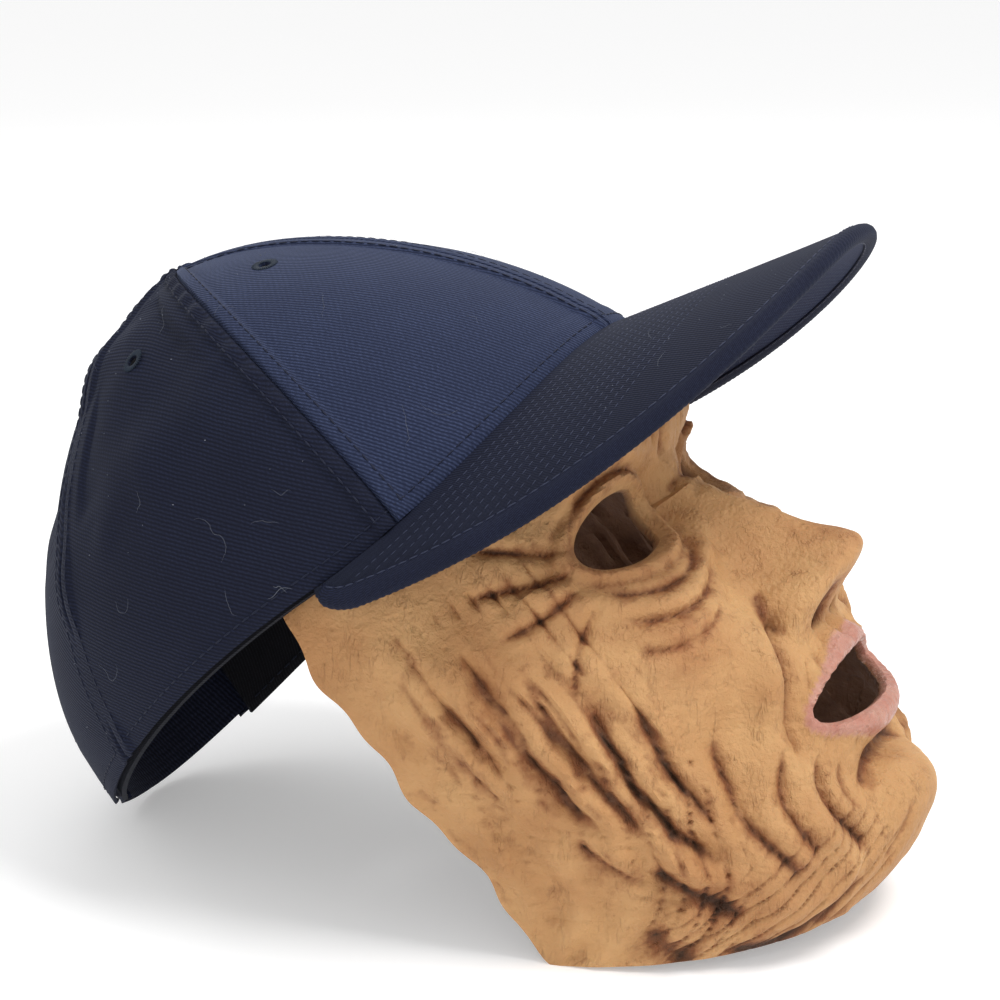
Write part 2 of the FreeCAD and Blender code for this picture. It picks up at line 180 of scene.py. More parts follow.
def crown_point(angle, height):
    ahead = np.cos(angle) >= 0.0
    front, back = profile(height, CROWN_FRONT, FRONT_POWER), profile(height, CROWN_BACK, BACK_POWER)
    length = np.where(ahead, front, back)
    plan = np.where(ahead, 2.0, NAPE_POWER)
    radius = (np.abs(np.cos(angle)) ** plan + np.abs(np.sin(angle)) ** plan) ** (-1.0 / plan)
    lean = KNOT_AHEAD * np.clip(height / CROWN_HEIGHT, 0.0, 1.0) ** 2
    width = profile(height, CROWN_SIDE, SIDE_POWER)
    x, y = length * np.cos(angle) * radius + lean, width * np.sin(angle) * radius
    return np.stack([x, y, height + 0.0 * angle], -1)


def visor_height(x, y):
    drop = VISOR_RADIUS - np.sqrt(VISOR_RADIUS**2 - y * y)
    return VISOR_JOIN_Z + VISOR_PITCH * (CROWN_FRONT - x) - drop


def hem_height(angle):
    turn = np.abs(angle)
    over = np.minimum(turn, CORNER_ANGLE)
    edge = visor_height(CROWN_FRONT * np.cos(over), CROWN_SIDE * np.sin(over)) + HEM_OVER_VISOR
    back = eased((turn - CORNER_ANGLE) / (math.pi - CORNER_ANGLE))
    return edge + (HEM_BACK - edge) * back


def crown_level(angle, level):
    hem = hem_height(angle)
    return crown_point(angle, hem + (CROWN_HEIGHT - hem) * np.sin(level * PANEL_TOP * math.pi / 2.0))


def outward(surface, u, v, step_u, step_v):
    """Unit normals of a surface function."""
    along = surface(u + step_u, v) - surface(u - step_u, v)
    across = surface(u, v + step_v) - surface(u, v - step_v)
    normal = np.cross(along, across)
    return normal / np.linalg.norm(normal, axis=-1, keepdims=True)


def soft_noise(points, scale, seed):
    """Smooth noise from -1 to 1 at each point."""
    flat = np.asarray(points, float).reshape(-1, 3) * scale + seed
    values = np.fromiter((noise.noise(Vector(p)) for p in flat), float, len(flat))
    return values.reshape(np.shape(points)[:-1])


def crown_relief(angle, level, place):
    """How far the cloth stands off the plain crown: seams, hem, and dents in the unlined gores."""
    turn = np.abs(angle)
    around = np.hypot(place[..., 0], place[..., 1])
    relief = np.zeros_like(turn)
    gaps = [np.abs(turn - seam) * around for seam in SEAM_ANGLES]
    for gap in gaps:
        relief -= SEAM_GROOVE * np.exp(-((gap / SEAM_GROOVE) ** 2))
        relief += SEAM_SWELL * (1.0 - eased((gap - SEAM_ALLOWANCE) / 0.002)) * eased(gap / 0.0008)
    slack = eased((turn - SEAM_FRONT) / 0.35) * eased(level / 0.2) * eased((1.0 - level) / 0.25)
    relief += slack * (BIG_DENTS * soft_noise(place, 22.0, 3.0) + SMALL_DENTS * soft_noise(place, 55.0, 9.0))
    sag = eased((turn - 1.6) / 0.9) * eased((0.75 - level) / 0.4)
    relief += sag * (BACK_WAVES * np.sin(level * 15.0 + angle * 2.0) - BACK_SAG)
    past_seam = turn - SEAM_FRONT
    pucker = np.exp(-((past_seam * around / PUCKER_REACH) ** 2)) * eased(past_seam / 0.03)
    relief += PUCKER_DEPTH * pucker * np.sin(level * 85.0 + 3.0 * soft_noise(place, 30.0, 1.0))
    relief -= HEM_ROLL * (1.0 - eased(level / 0.008))
    relief += HEM_FOLD * (1.0 - eased((level - HEM_FOLD_LEVEL) / 0.02))
    # Round the arch, over the seam tapes and over the sweatband the cloth keeps off what lies under it.
    from_arch = np.hypot(place[..., 1], place[..., 2] - HEM_BACK) - ARCH_CLEAR
    relief *= eased(from_arch / 0.012 + (place[..., 0] > 0.0))
    free = eased((level - 0.36) / 0.1) * eased((np.min(gaps, axis=0) - 0.008) / 0.006)
    lowest = -LINED_DENT - FREE_DENT * free
    return 0.5 * (relief + lowest + np.sqrt((relief - lowest) ** 2 + 0.0004**2))


def crown_normal(angle, level):
    return outward(crown_level, angle, np.clip(level, 0.004, 0.996), 0.01, 0.004)


def crown_cloth(angle, level):
    """Point of the sewn crown's outer face."""
    place = crown_level(angle, level)
    return place + crown_normal(angle, level) * crown_relief(angle, level, place)[..., None]


def laid_grid(name, columns, rows, shape):
    """A grid primitive whose points go where shape(u, v) puts them, with its UV map in metres of cloth."""
    bpy.ops.object.select_all(action="DESELECT")
    bpy.ops.mesh.primitive_grid_add(x_subdivisions=columns, y_subdivisions=rows, size=2.0)
    piece = bpy.context.object
    piece.name = name
    mesh = piece.data
    flat = np.empty(len(mesh.vertices) * 3)
    mesh.vertices.foreach_get("co", flat)
    flat = flat.reshape(-1, 3)
    u, v = (flat[:, 0] + 1.0) / 2.0, (flat[:, 1] + 1.0) / 2.0
    order = np.lexsort((u.round(6), v.round(6)))
    head = shape(u[order].reshape(rows + 1, columns + 1), v[order].reshape(rows + 1, columns + 1))
    across = np.linalg.norm(np.diff(head, axis=1), axis=2)
    upward = np.linalg.norm(np.diff(head, axis=0), axis=2)
    width = np.hstack([np.zeros((rows + 1, 1)), across.cumsum(axis=1)])
    width -= width[:, columns // 2][:, None]
    length = np.vstack([np.zeros((1, columns + 1)), upward.cumsum(axis=0)])
    placed, cloth = np.empty_like(flat), np.empty((len(flat), 2))
    placed[order] = on_rest(head.reshape(-1, 3))
    cloth[order] = np.stack([width, length], -1).reshape(-1, 2)
    mesh.vertices.foreach_set("co", placed.ravel())
    corners = np.empty(len(mesh.loops), int)
    mesh.loops.foreach_get("vertex_index", corners)
    layer = mesh.uv_layers.active or mesh.uv_layers.new(name="cloth")
    layer.data.foreach_set("uv", cloth[corners].ravel())
    mesh.update()
    return piece


def thicken(piece, thickness, side):
    """Turn an open sheet into a closed one; side -1 grows it inwards and 1 outwards."""
    wall = piece.modifiers.new("wall", "SOLIDIFY")
    wall.thickness = thickness
    wall.offset = side
    bpy.context.view_layer.objects.active = piece
    bpy.ops.object.modifier_apply(modifier=wall.name)
    bpy.ops.object.select_all(action="DESELECT")
    piece.select_set(True)
    bpy.ops.object.shade_smooth_by_angle(angle=math.radians(50.0))


def socket(group, name, kind, direction, default=None):
    made = group.interface.new_socket(name=name, in_out=direction, socket_type=kind)
    if default is not None:
        made.default_value = default


def math_node(tree, operation, *values):
    """A Math node whose inputs are numbers or other nodes' outputs."""
    node = tree.nodes.new("ShaderNodeMath")
    node.operation = operation
    for slot_input, value in zip(node.inputs, values):
        if isinstance(value, (int, float)):
            slot_input.default_value = value
        else:
            tree.links.new(value, slot_input)
    return node.outputs[0]


def noise_texture(tree, source, scale, detail=2.0, roughness=0.5):
    """Noise of a given scale at a vector output."""
    texture = tree.nodes.new("ShaderNodeTexNoise")
    set_inputs(texture, {"Scale": scale, "Detail": detail, "Roughness": roughness})
    tree.links.new(source, texture.inputs["Vector"])
    return texture.outputs[0]


def blended(tree, factor, first, second):
    """Mix of two colours, each a plain colour or another node's output."""
    mix = tree.nodes.new("ShaderNodeMix")
    mix.data_type = "RGBA"
    tree.links.new(factor, mix.inputs["Factor"])
    for name, value in (("A", first), ("B", second)):
        if isinstance(value, tuple):
            mix.inputs[name].default_value = (*value, 1.0)
        else:
            tree.links.new(value, mix.inputs[name])
    return mix.outputs["Result"]


def emboss(tree, shader, height, strength, distance):
    """Bump from a height output into the shader's normal."""
    bump = tree.nodes.new("ShaderNodeBump")
    set_inputs(bump, {"Strength": strength, "Distance": distance})
    tree.links.new(height, bump.inputs["Height"])
    tree.links.new(bump.outputs[0], shader.inputs["Normal"])


def build_twill():
    """Node group: diagonal ribs of a steep twill, each rib a row of short floats, over cloth in metres."""
    group = bpy.data.node_groups.new("twill_weave", "ShaderNodeTree")
    socket(group, "Cloth", "NodeSocketVector", "INPUT")
    socket(group, "Pitch", "NodeSocketFloat", "INPUT", TWILL_PITCH)
    socket(group, "Turn", "NodeSocketFloat", "INPUT", 0.5)
    socket(group, "Height", "NodeSocketFloat", "OUTPUT")
    socket(group, "Worn", "NodeSocketFloat", "OUTPUT")
    into, out = group.nodes.new("NodeGroupInput"), group.nodes.new("NodeGroupOutput")
    place = group.nodes.new("ShaderNodeSeparateXYZ")
    group.links.new(into.outputs["Cloth"], place.inputs[0])
    sine = math_node(group, "SINE", into.outputs["Turn"])
    cosine = math_node(group, "COSINE", into.outputs["Turn"])
    wander = noise_texture(group, into.outputs["Cloth"], 160.0)
    raw_across = math_node(
        group, "SUBTRACT",
        math_node(group, "MULTIPLY", cosine, place.outputs[1]),
        math_node(group, "MULTIPLY", sine, place.outputs[0]),
    )
    raw_along = math_node(
        group, "ADD",
        math_node(group, "MULTIPLY", cosine, place.outputs[0]),
        math_node(group, "MULTIPLY", sine, place.outputs[1]),
    )
    across = math_node(group, "DIVIDE", raw_across, into.outputs["Pitch"])
    across = math_node(group, "ADD", across, math_node(group, "MULTIPLY", wander, 0.55))
    along = math_node(group, "DIVIDE", raw_along, into.outputs["Pitch"])
    step = math_node(group, "MULTIPLY", math_node(group, "FLOOR", across), 0.37)
    float_place = math_node(group, "ADD", math_node(group, "MULTIPLY", along, 0.62), step)
    rib = math_node(group, "COSINE", math_node(group, "MULTIPLY", across, 2.0 * math.pi))
    rib = math_node(group, "MULTIPLY_ADD", rib, 0.5, 0.5)
    thread = math_node(group, "COSINE", math_node(group, "MULTIPLY", float_place, 2.0 * math.pi))
    thread = math_node(group, "MULTIPLY_ADD", thread, 0.2, 0.8)
    height = math_node(group, "MULTIPLY", rib, thread)
    fuzz = noise_texture(group, into.outputs["Cloth"], 1500.0, 1.0)
    patch = noise_texture(group, into.outputs["Cloth"], 45.0, 4.0)
    worn = math_node(group, "MULTIPLY", height, math_node(group, "MULTIPLY_ADD", fuzz, 1.3, -0.05))
    worn = math_node(group, "MULTIPLY", worn, math_node(group, "MULTIPLY_ADD", patch, 0.9, 0.45))
    group.links.new(height, out.inputs["Height"])
    group.links.new(worn, out.inputs["Worn"])
    return group


TWILL = build_twill()


def twill_material(name, dark, light, pitch, turn, relief=0.00017, sheen=0.06):
    """Cotton twill: dark grooves, paler worn ribs, a soft sheen."""
    paint, tree, shader = new_paint(name)
    cloth = tree.nodes.new("ShaderNodeUVMap")
    weave = tree.nodes.new("ShaderNodeGroup")
    weave.node_tree = TWILL
    set_inputs(weave, {"Pitch": pitch, "Turn": turn})
    tree.links.new(cloth.outputs[0], weave.inputs["Cloth"])
    tree.links.new(blended(tree, weave.outputs["Worn"], dark, light), shader.inputs["Base Color"])
    emboss(tree, shader, weave.outputs["Height"], 0.8, relief)
    set_inputs(shader, {
        "Roughness": 0.82,
        "Specular IOR Level": 0.18,
        "Sheen Weight": sheen,
        "Sheen Roughness": 0.4,
        "Sheen Tint": (0.35, 0.42, 0.65, 1.0),
    })
    return paint


NAVY_DEEP = (0.003, 0.004, 0.012)
NAVY_DARK, NAVY_LIGHT = (0.008, 0.012, 0.032), (0.05, 0.068, 0.145)
FRONT_TURN, SOFT_TURN = math.radians(110.0), math.radians(135.0)
front_twill = twill_material("front_twill", NAVY_DARK, NAVY_LIGHT, TWILL_PITCH, FRONT_TURN, sheen=0.25)
# The side and back gores are given a far darker navy than the front ones, though all six are the same twill:
# painted shade.
shaded_soft_twill = twill_material("shaded_soft_twill", NAVY_DEEP, (0.015, 0.021, 0.052), TWILL_PITCH, SOFT_TURN)

EYELET_LEVEL, EYELET_HOLE = 0.62, 0.0018


def punch_eyelet(piece, angle):
    """Open the vent hole: the nearest points are drawn to its rim, and the faces inside go."""
    centre = Vector(on_rest(crown_cloth(np.array([angle]), np.array([EYELET_LEVEL])))[0])
    shape = bmesh.new()
    shape.from_mesh(piece.data)
    inside = [face for face in shape.faces if (face.calc_center_median() - centre).length < EYELET_HOLE]
    bmesh.ops.delete(shape, geom=inside, context="FACES")
    for vertex in shape.verts:
        offset = vertex.co - centre
        if offset.length < 1.6 * EYELET_HOLE and vertex.is_boundary:
            vertex.co = centre + offset.normalized() * EYELET_HOLE
    shape.to_mesh(piece.data)
    shape.free()


ARCH_RADIUS, ARCH_CENTRE_Z, ARCH_SNAP = 0.038, HEM_BACK + 0.002, 0.0022


def cut_arch(piece):
    """Cut the rear arch: faces inside it go, and the raw edge is drawn to its line."""
    shape = bmesh.new()
    shape.from_mesh(piece.data)

    def height_of(point):
        return (point - HEAD_ORIGIN).dot(HEAD_UP) - ARCH_CENTRE_Z

    def reach(point):
        return math.hypot(point.y, max(0.0, height_of(point)))

    def behind(point):
        return (point - HEAD_ORIGIN).dot(HEAD_FORWARD) < -0.05

    middles = [(face, face.calc_center_median()) for face in shape.faces]
    inside = [face for face, middle in middles if behind(middle) and reach(middle) < ARCH_RADIUS]
    bmesh.ops.delete(shape, geom=inside, context="FACES")
    for vertex in shape.verts:
        height = height_of(vertex.co)
        near = abs(reach(vertex.co) - ARCH_RADIUS) < ARCH_SNAP and behind(vertex.co)
        if vertex.is_boundary and near and height > -0.003:
            spread = ARCH_RADIUS / max(1e-6, reach(vertex.co))
            vertex.co.y *= spread
            if height > 0.0:
                vertex.co += HEAD_UP * (height * (spread - 1.0))
    shape.to_mesh(piece.data)
    shape.free()


gores = (
    ("front_panel_left", 0.0, SEAM_FRONT, front_twill),
    ("front_panel_right", -SEAM_FRONT, 0.0, front_twill),
    ("side_panel_left", SEAM_FRONT, SEAM_BACK, shaded_soft_twill),
    ("side_panel_right", -SEAM_BACK, -SEAM_FRONT, shaded_soft_twill),
    ("back_panel_left", SEAM_BACK, math.pi, shaded_soft_twill),
    ("back_panel_right", -math.pi, -SEAM_BACK, shaded_soft_twill),
)
for name, start, end, cloth in gores:
    def gore_shape(u, v, start=start, end=end):
        return crown_cloth(start + (end - start) * u, v)

    panel = laid_grid(name + "_cloth", GORE_COLUMNS, GORE_ROWS, gore_shape)
    punch_eyelet(panel, (start + end) / 2.0)
    if name.startswith("back"):
        cut_arch(panel)
    thicken(panel, CLOTH_THICKNESS, -1.0)
    panel.data.materials.append(cloth)
    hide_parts(name)
    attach(panel, "root")


# ---------------------------------------------------------------- topstitching
# Lockstitch rows in navy thread: one each side of every seam, and one along the hem. Each visible stitch
# is a short plump length of thread that dips into the cloth at both ends.

STITCH_LENGTH, STITCH_PITCH, THREAD_RADIUS = 0.0026, 0.0033, 0.00024
SEAM_ROW_OFFSET, HEM_ROW_LEVEL, HEM_ROW_END = 0.0037, 0.026, 2.62


def thread_material(name, colour):
    """Twisted sewing thread."""
    paint, tree, shader = new_paint(name)
    place = tree.nodes.new("ShaderNodeTexCoord")
    twist = noise_texture(tree, place.outputs["Object"], 1800.0)
    shaded = tuple(0.55 * part for part in colour)
    tree.links.new(blended(tree, twist, shaded, colour), shader.inputs["Base Color"])
    set_inputs(shader, {"Roughness": 0.6, "Specular IOR Level": 0.25})
    return paint


navy_thread = thread_material("navy_thread", (0.01, 0.014, 0.036))


def stitch_form():
    """One stitch along x: a small spindle."""
    bpy.ops.object.select_all(action="DESELECT")
    bpy.ops.mesh.primitive_uv_sphere_add(segments=6, ring_count=5, rotation=(0.0, math.pi / 2.0, 0.0))
    form = bpy.context.object
    bpy.ops.object.transform_apply(location=False, rotation=True, scale=False)
    points = np.empty(len(form.data.vertices) * 3)
    form.data.vertices.foreach_get("co", points)
    faces = [tuple(face.vertices) for face in form.data.polygons]
    bpy.data.objects.remove(form)
    return points.reshape(-1, 3), faces


SPINDLE, SPINDLE_FACES = stitch_form()


def copies(name, frames, thread):
    """One mesh of many spindles. Each frame is a centre and three axis vectors, in head coordinates."""
    points, polygons = [], []
    for count, (centre, along, across, up) in enumerate(frames):
        points.append(centre + SPINDLE[:, :1] * along + SPINDLE[:, 1:2] * across + SPINDLE[:, 2:3] * up)
        polygons.extend(tuple(corner + count * len(SPINDLE) for corner in face) for face in SPINDLE_FACES)
    mesh = bpy.data.meshes.new(name)
    mesh.from_pydata(on_rest(np.concatenate(points)).tolist(), [], polygons)
    mesh.materials.append(thread)
    piece = bpy.data.objects.new(name, mesh)
    bpy.context.scene.collection.objects.link(piece)
    mesh.shade_smooth()
    return piece


def stitches_along(line, normals, pitch=STITCH_PITCH, length=STITCH_LENGTH, radius=THREAD_RADIUS):
    """Frames of stitches along a dense line of points."""
    run = np.concatenate([[0.0], np.linalg.norm(np.diff(line, axis=0), axis=1).cumsum()])
    frames = []
    for start in np.arange(0.3 * pitch, run[-1] - length, pitch):
        ends = [np.array([np.interp(start + t, run, line[:, k]) for k in range(3)]) for t in (0.0, length)]
        up = np.array([np.interp(start + length / 2.0, run, normals[:, k]) for k in range(3)])
        along = (ends[1] - ends[0]) / 2.0
        across = np.cross(up, along)
        across /= np.linalg.norm(across)
        frames.append(((ends[0] + ends[1]) / 2.0 + up * 0.3 * radius, along, across * radius, up * radius))
    return frames


def crown_line(angles, levels):
    """Dense line on the sewn crown, with its normals."""
    return crown_cloth(angles, levels), crown_normal(angles, levels)


seam_frames = []
for seam in (0.0, SEAM_FRONT, SEAM_BACK, math.pi, -SEAM_BACK, -SEAM_FRONT):
    first_level = 0.34 if seam == math.pi else 0.015
    levels = np.linspace(first_level, 0.93, 220)
    middle = crown_level(np.full_like(levels, seam), levels)
    around = np.hypot(middle[:, 0] - KNOT_AHEAD, middle[:, 1])
    for side in (-1.0, 1.0):
        seam_frames += stitches_along(*crown_line(seam + side * SEAM_ROW_OFFSET / around, levels))
piece = copies("crown_topstitches", seam_frames, navy_thread)
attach(piece, "root")

angles = np.linspace(-HEM_ROW_END, HEM_ROW_END, 900)
hem_frames = stitches_along(*crown_line(angles, np.full_like(angles, HEM_ROW_LEVEL)))
piece = copies("hem_stitches", hem_frames, navy_thread)
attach(piece, "root")


# ---------------------------------------------------------------- eyelets and top knot
# Six vent holes, each overcast by hand-width satin stitches in navy thread, and the small lump on top
# where the seam ends are caught together.

EYELET_STITCHES, EYELET_RADIUS = 34, 0.00265
EYELET_THREAD = (0.00105, 0.00027, 0.0002)
KNOT_TURNS, KNOT_THREAD = 7, (0.0026, 0.0007, 0.0009)
eyelet_frames = []
for gore in gores:
    angle = np.array([(gore[1] + gore[2]) / 2.0])
    centre, up = (part[0] for part in crown_line(angle, np.array([EYELET_LEVEL])))
    east = np.cross(up, (0.0, 0.0, 1.0))
    east /= np.linalg.norm(east)
    north = np.cross(up, east)
    for turn in np.linspace(0.0, 2.0 * math.pi, EYELET_STITCHES, endpoint=False):
        ray = east * math.cos(turn) + north * math.sin(turn)
        side = east * -math.sin(turn) + north * math.cos(turn)
        middle = centre + ray * EYELET_RADIUS + up * 0.00005
        axes = (axis * half for axis, half in zip((ray, side, up), EYELET_THREAD))
        eyelet_frames.append((middle, *axes))
piece = copies("overcast_eyelets", eyelet_frames, thread_material("eyelet_thread", (0.008, 0.018, 0.036)))
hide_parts("sewn_eyelets")
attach(piece, "root")

knot_frames = []
for turn in np.linspace(0.0, math.pi, KNOT_TURNS, endpoint=False):
    ray = np.array([math.cos(turn), math.sin(turn), 0.0])
    side = np.array([-math.sin(turn), math.cos(turn), 0.0])
    top = np.array([KNOT_AHEAD, 0.0, CROWN_HEIGHT + 0.0001])
    axes = (axis * half for axis, half in zip((ray, side, np.array([0.0, 0.0, 1.0])), KNOT_THREAD))
    knot_frames.append((top, *axes))
piece = copies("top_knot_threads", knot_frames, navy_thread)
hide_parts("crown_knot")
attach(piece, "root")


# ---------------------------------------------------------------- visor
# A stiff board bent over a cylinder, faced above and below with twill. Rows of lockstitch that follow the
# join run through all the layers, and a bias strip of the same twill is rolled over the front edge.

VISOR_REACH, VISOR_HALF_WIDTH, VISOR_POWER = 0.067, 0.0845, 2.3
VISOR_END, VISOR_ROUNDING = 0.995, 0.05
VISOR_TUCK = 0.0007
VISOR_CLOTH_MARGIN, VISOR_CLOTH_LIFT, VISOR_CLOTH_THICKNESS = -0.0018, 0.0019, 0.0007
VISOR_COLUMNS, VISOR_ROWS = 200, 64
ROW_DISTANCES = [0.0045 + 0.0026 * row for row in range(13)]
ROW_DEPTH, ROW_WIDTH = 0.0001, 0.0006
ROW_PITCH, ROW_STITCH, ROW_THREAD, ROW_END_GAP = 0.0026, 0.0017, 0.00014, 0.0045
PIPING_INSET, PIPING_RADIUS, PIPING_WALL = 0.0042, 0.0023, 0.0004
PIPING_RIB, PIPING_RIB_HEIGHT, PIPING_FLAT = 0.0019, 0.00007, 0.36
EDGE_PITCH, EDGE_STITCH, EDGE_THREAD = 0.0032, 0.0026, 0.0002


def visor_turn(u):
    return VISOR_END * np.sin((u - 0.5) * math.pi)


def visor_plan(turn, margin):
    """Inner and outer edge of the visor's plan, at a turn from one corner (-1) to the other (1)."""
    cosine, sine = np.maximum(0.0, np.cos(turn * math.pi / 2.0)), np.sin(turn * math.pi / 2.0)
    radius = (cosine**VISOR_POWER + np.abs(sine) ** VISOR_POWER) ** (-1.0 / VISOR_POWER)
    angle = turn * CORNER_ANGLE
    inner = crown_point(angle, hem_height(angle))[..., :2]
    inner = inner - VISOR_TUCK * np.stack([np.cos(angle), np.sin(angle)], -1)
    reach = CROWN_FRONT + VISOR_REACH - VISOR_CORNER_X + margin
    outer_x, outer_y = VISOR_CORNER_X + reach * cosine * radius, (VISOR_HALF_WIDTH + margin) * sine * radius
    outer = np.stack([outer_x, outer_y], -1)
    end = np.maximum(0.0, (np.abs(turn) - 1.0 + VISOR_ROUNDING) / VISOR_ROUNDING)
    kept = np.sqrt(1.0 - end * end)[..., None]
    return inner, inner + (outer - inner) * kept


def visor_slope(plan):
    """Unit normal of the bent board above a plan point."""
    tilt = plan[..., 1] / np.sqrt(VISOR_RADIUS**2 - plan[..., 1] ** 2)
    normal = np.stack([np.full_like(tilt, VISOR_PITCH), tilt, np.ones_like(tilt)], -1)
    return normal / np.linalg.norm(normal, axis=-1, keepdims=True)


def visor_point(plan, lift):
    height = visor_height(plan[..., 0], plan[..., 1])
    return np.concatenate([plan, height[..., None]], -1) + visor_slope(plan) * lift[..., None]


def pressed(distance):
    """The cloth is drawn down along each stitched row and stands proud between them."""
    relief = np.zeros_like(distance)
    for row in ROW_DISTANCES:
        relief -= ROW_DEPTH * np.exp(-(((distance - row) / ROW_WIDTH) ** 2))
    return relief


def visor_face(u, v, side):
    inner, outer = visor_plan(visor_turn(u), VISOR_CLOTH_MARGIN)
    plan = inner + (outer - inner) * v[..., None]
    distance = np.linalg.norm(plan - inner, axis=-1)
    place = np.concatenate([plan, np.zeros_like(distance)[..., None]], -1)
    ripple = 0.00012 * soft_noise(place, 60.0, 4.0)
    return visor_point(plan, side * (VISOR_CLOTH_LIFT + pressed(distance) + ripple))


# The visor's top cloth is given a much darker navy than the front gores of the same twill: painted shade.
shaded_visor_twill = twill_material("shaded_visor_twill", NAVY_DEEP, (0.016, 0.021, 0.05), 0.0009, 1.08, 0.00013)
under_twill = twill_material("visor_under_twill", NAVY_DARK, (0.05, 0.062, 0.125), 0.0008, 0.6, 0.0001)
piping_twill = twill_material("piping_twill", NAVY_DEEP, (0.021, 0.028, 0.066), 0.0004, 0.26, 0.00003)

piece = laid_grid("visor_top_twill", VISOR_COLUMNS, VISOR_ROWS, lambda u, v: visor_face(1.0 - u, v, 1.0))
thicken(piece, VISOR_CLOTH_THICKNESS, -1.0)
piece.data.materials.append(shaded_visor_twill)
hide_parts("visor_top_cloth")
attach(piece, "root")

piece = laid_grid("visor_under_twill", VISOR_COLUMNS, VISOR_ROWS, lambda u, v: visor_face(u, v, -1.0))
thicken(piece, VISOR_CLOTH_THICKNESS, -1.0)
piece.data.materials.append(under_twill)
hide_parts("visor_under_cloth")
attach(piece, "root")


def piping_profile(v):
    """Margin and lift of the rolled strip: over the top, round the edge and back underneath."""
    edge = np.minimum(v, 1.0 - v)
    turn = np.clip((v - PIPING_FLAT) / (1.0 - 2.0 * PIPING_FLAT), 0.0, 1.0) * math.pi
    inset = (PIPING_INSET - PIPING_RADIUS) * np.maximum(0.0, PIPING_FLAT - edge) / PIPING_FLAT
    lift = PIPING_RADIUS * np.cos(turn) * eased(edge / 0.03 + 0.35)
    return -PIPING_RADIUS * (1.0 - np.sin(turn)) - inset, lift


def piping_shape(u, v):
    margin, lift = piping_profile(v)
    turn = visor_turn(u)
    outline = visor_plan(turn[0], 0.0)[1]
    run = np.concatenate([[0.0], np.linalg.norm(np.diff(outline, axis=0), axis=1).cumsum()])
    rib = np.sin(2.0 * math.pi * (run[None, :] / PIPING_RIB + 3.2 * v))
    bulge = PIPING_RIB_HEIGHT * rib * eased(np.minimum(v, 1.0 - v) / 0.08)
    inner, outer = visor_plan(turn, 0.0)
    along = np.gradient(outer, axis=1)
    across = np.stack([along[..., 1], -along[..., 0]], -1)
    across /= np.linalg.norm(across, axis=-1, keepdims=True)
    across *= np.sign((across * (outer - np.array([0.06, 0.0]))).sum(-1))[..., None]
    roundness = np.clip(lift / PIPING_RADIUS, -1.0, 1.0)
    plan = outer + across * (margin + bulge * np.sqrt(1.0 - roundness**2))[..., None]
    return visor_point(plan, lift + bulge * roundness)


piece = laid_grid("visor_edge_piping", 760, 22, lambda u, v: piping_shape(u, 1.0 - v))
thicken(piece, PIPING_WALL, -1.0)
piece.data.materials.append(piping_twill)
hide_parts("visor_piping")
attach(piece, "root")

row_frames = []
for side in (1.0, -1.0):
    for row in ROW_DISTANCES:
        turn = visor_turn(np.linspace(0.0, 1.0, 1200))
        inner, outer = visor_plan(turn, VISOR_CLOTH_MARGIN)
        width = np.linalg.norm(outer - inner, axis=1)
        kept = width - row > ROW_END_GAP
        plan = inner[kept] + (outer - inner)[kept] * (row / width[kept])[:, None]
        line = visor_point(plan, np.full(len(plan), side * (VISOR_CLOTH_LIFT - ROW_DEPTH)))
        row_frames += stitches_along(line, side * visor_slope(plan), ROW_PITCH, ROW_STITCH, ROW_THREAD)
visor_thread = thread_material("visor_thread", (0.04, 0.048, 0.09))
piece = copies("visor_row_stitches", row_frames, visor_thread)
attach(piece, "root")

edge_turn = np.tile(np.linspace(0.02, 0.98, 900), (2, 1))
edge_lines = [piping_shape(edge_turn, np.full_like(edge_turn, spot))[0] for spot in (0.1, 0.9)]
facing = visor_slope(edge_lines[0][:, :2])
edge_frames = stitches_along(edge_lines[0], facing, EDGE_PITCH, EDGE_STITCH, EDGE_THREAD)
edge_frames += stitches_along(edge_lines[1], -facing, EDGE_PITCH, EDGE_STITCH, EDGE_THREAD)
piece = copies("piping_stitches", edge_frames, visor_thread)
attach(piece, "root")


def repaint(name, paint):
    """Give a CAD part that stays its own material."""
    node = frame["nodes"][name]
    node.data.materials.clear()
    node.data.materials.append(paint)


board_paint, board_tree, board_shader = new_paint("visor_board_plastic")
set_inputs(board_shader, {"Base Color": (0.72, 0.72, 0.7, 1.0), "Roughness": 0.55})
board_place = board_tree.nodes.new("ShaderNodeTexCoord")
board_grain = noise_texture(board_tree, board_place.outputs["Object"], 700.0)
emboss(board_tree, board_shader, board_grain, 1.0, 0.0001)
repaint("visor_board", board_paint)


# ---------------------------------------------------------------- inside the crown
# A folded cotton sweatband round the hem, black tapes over the seams, and an open-weave stiffener
# fused behind each front gore.

BAND_END = math.pi - math.asin((ARCH_RADIUS + 0.003) / CROWN_SIDE)
BAND_DEPTH, BAND_THICKNESS, BAND_HEIGHT, BAND_PROUD = 0.0043, 0.0014, 0.030, 0.0012


def band_shape(u, v):
    """The face that touches the forehead, so it is laid from left to right."""
    angle = BAND_END * (1.0 - 2.0 * u)
    hem = hem_height(angle)
    rise = BAND_HEIGHT * v - BAND_PROUD
    level = np.arcsin(np.maximum(0.0, rise) / (CROWN_HEIGHT - hem)) / (PANEL_TOP * math.pi / 2.0)
    normal = crown_normal(angle, level)
    roll = 0.0006 * (1.0 - eased(v / 0.06)) + 0.0004 * np.exp(-(((v - 0.88) / 0.03) ** 2))
    ripple = 0.0003 * np.sin(angle * 46.0) * eased((v - 0.5) / 0.4)
    place = crown_level(angle, level) - normal * (BAND_DEPTH - roll + ripple)[..., None]
    place[..., 2] += np.minimum(0.0, rise)
    return place


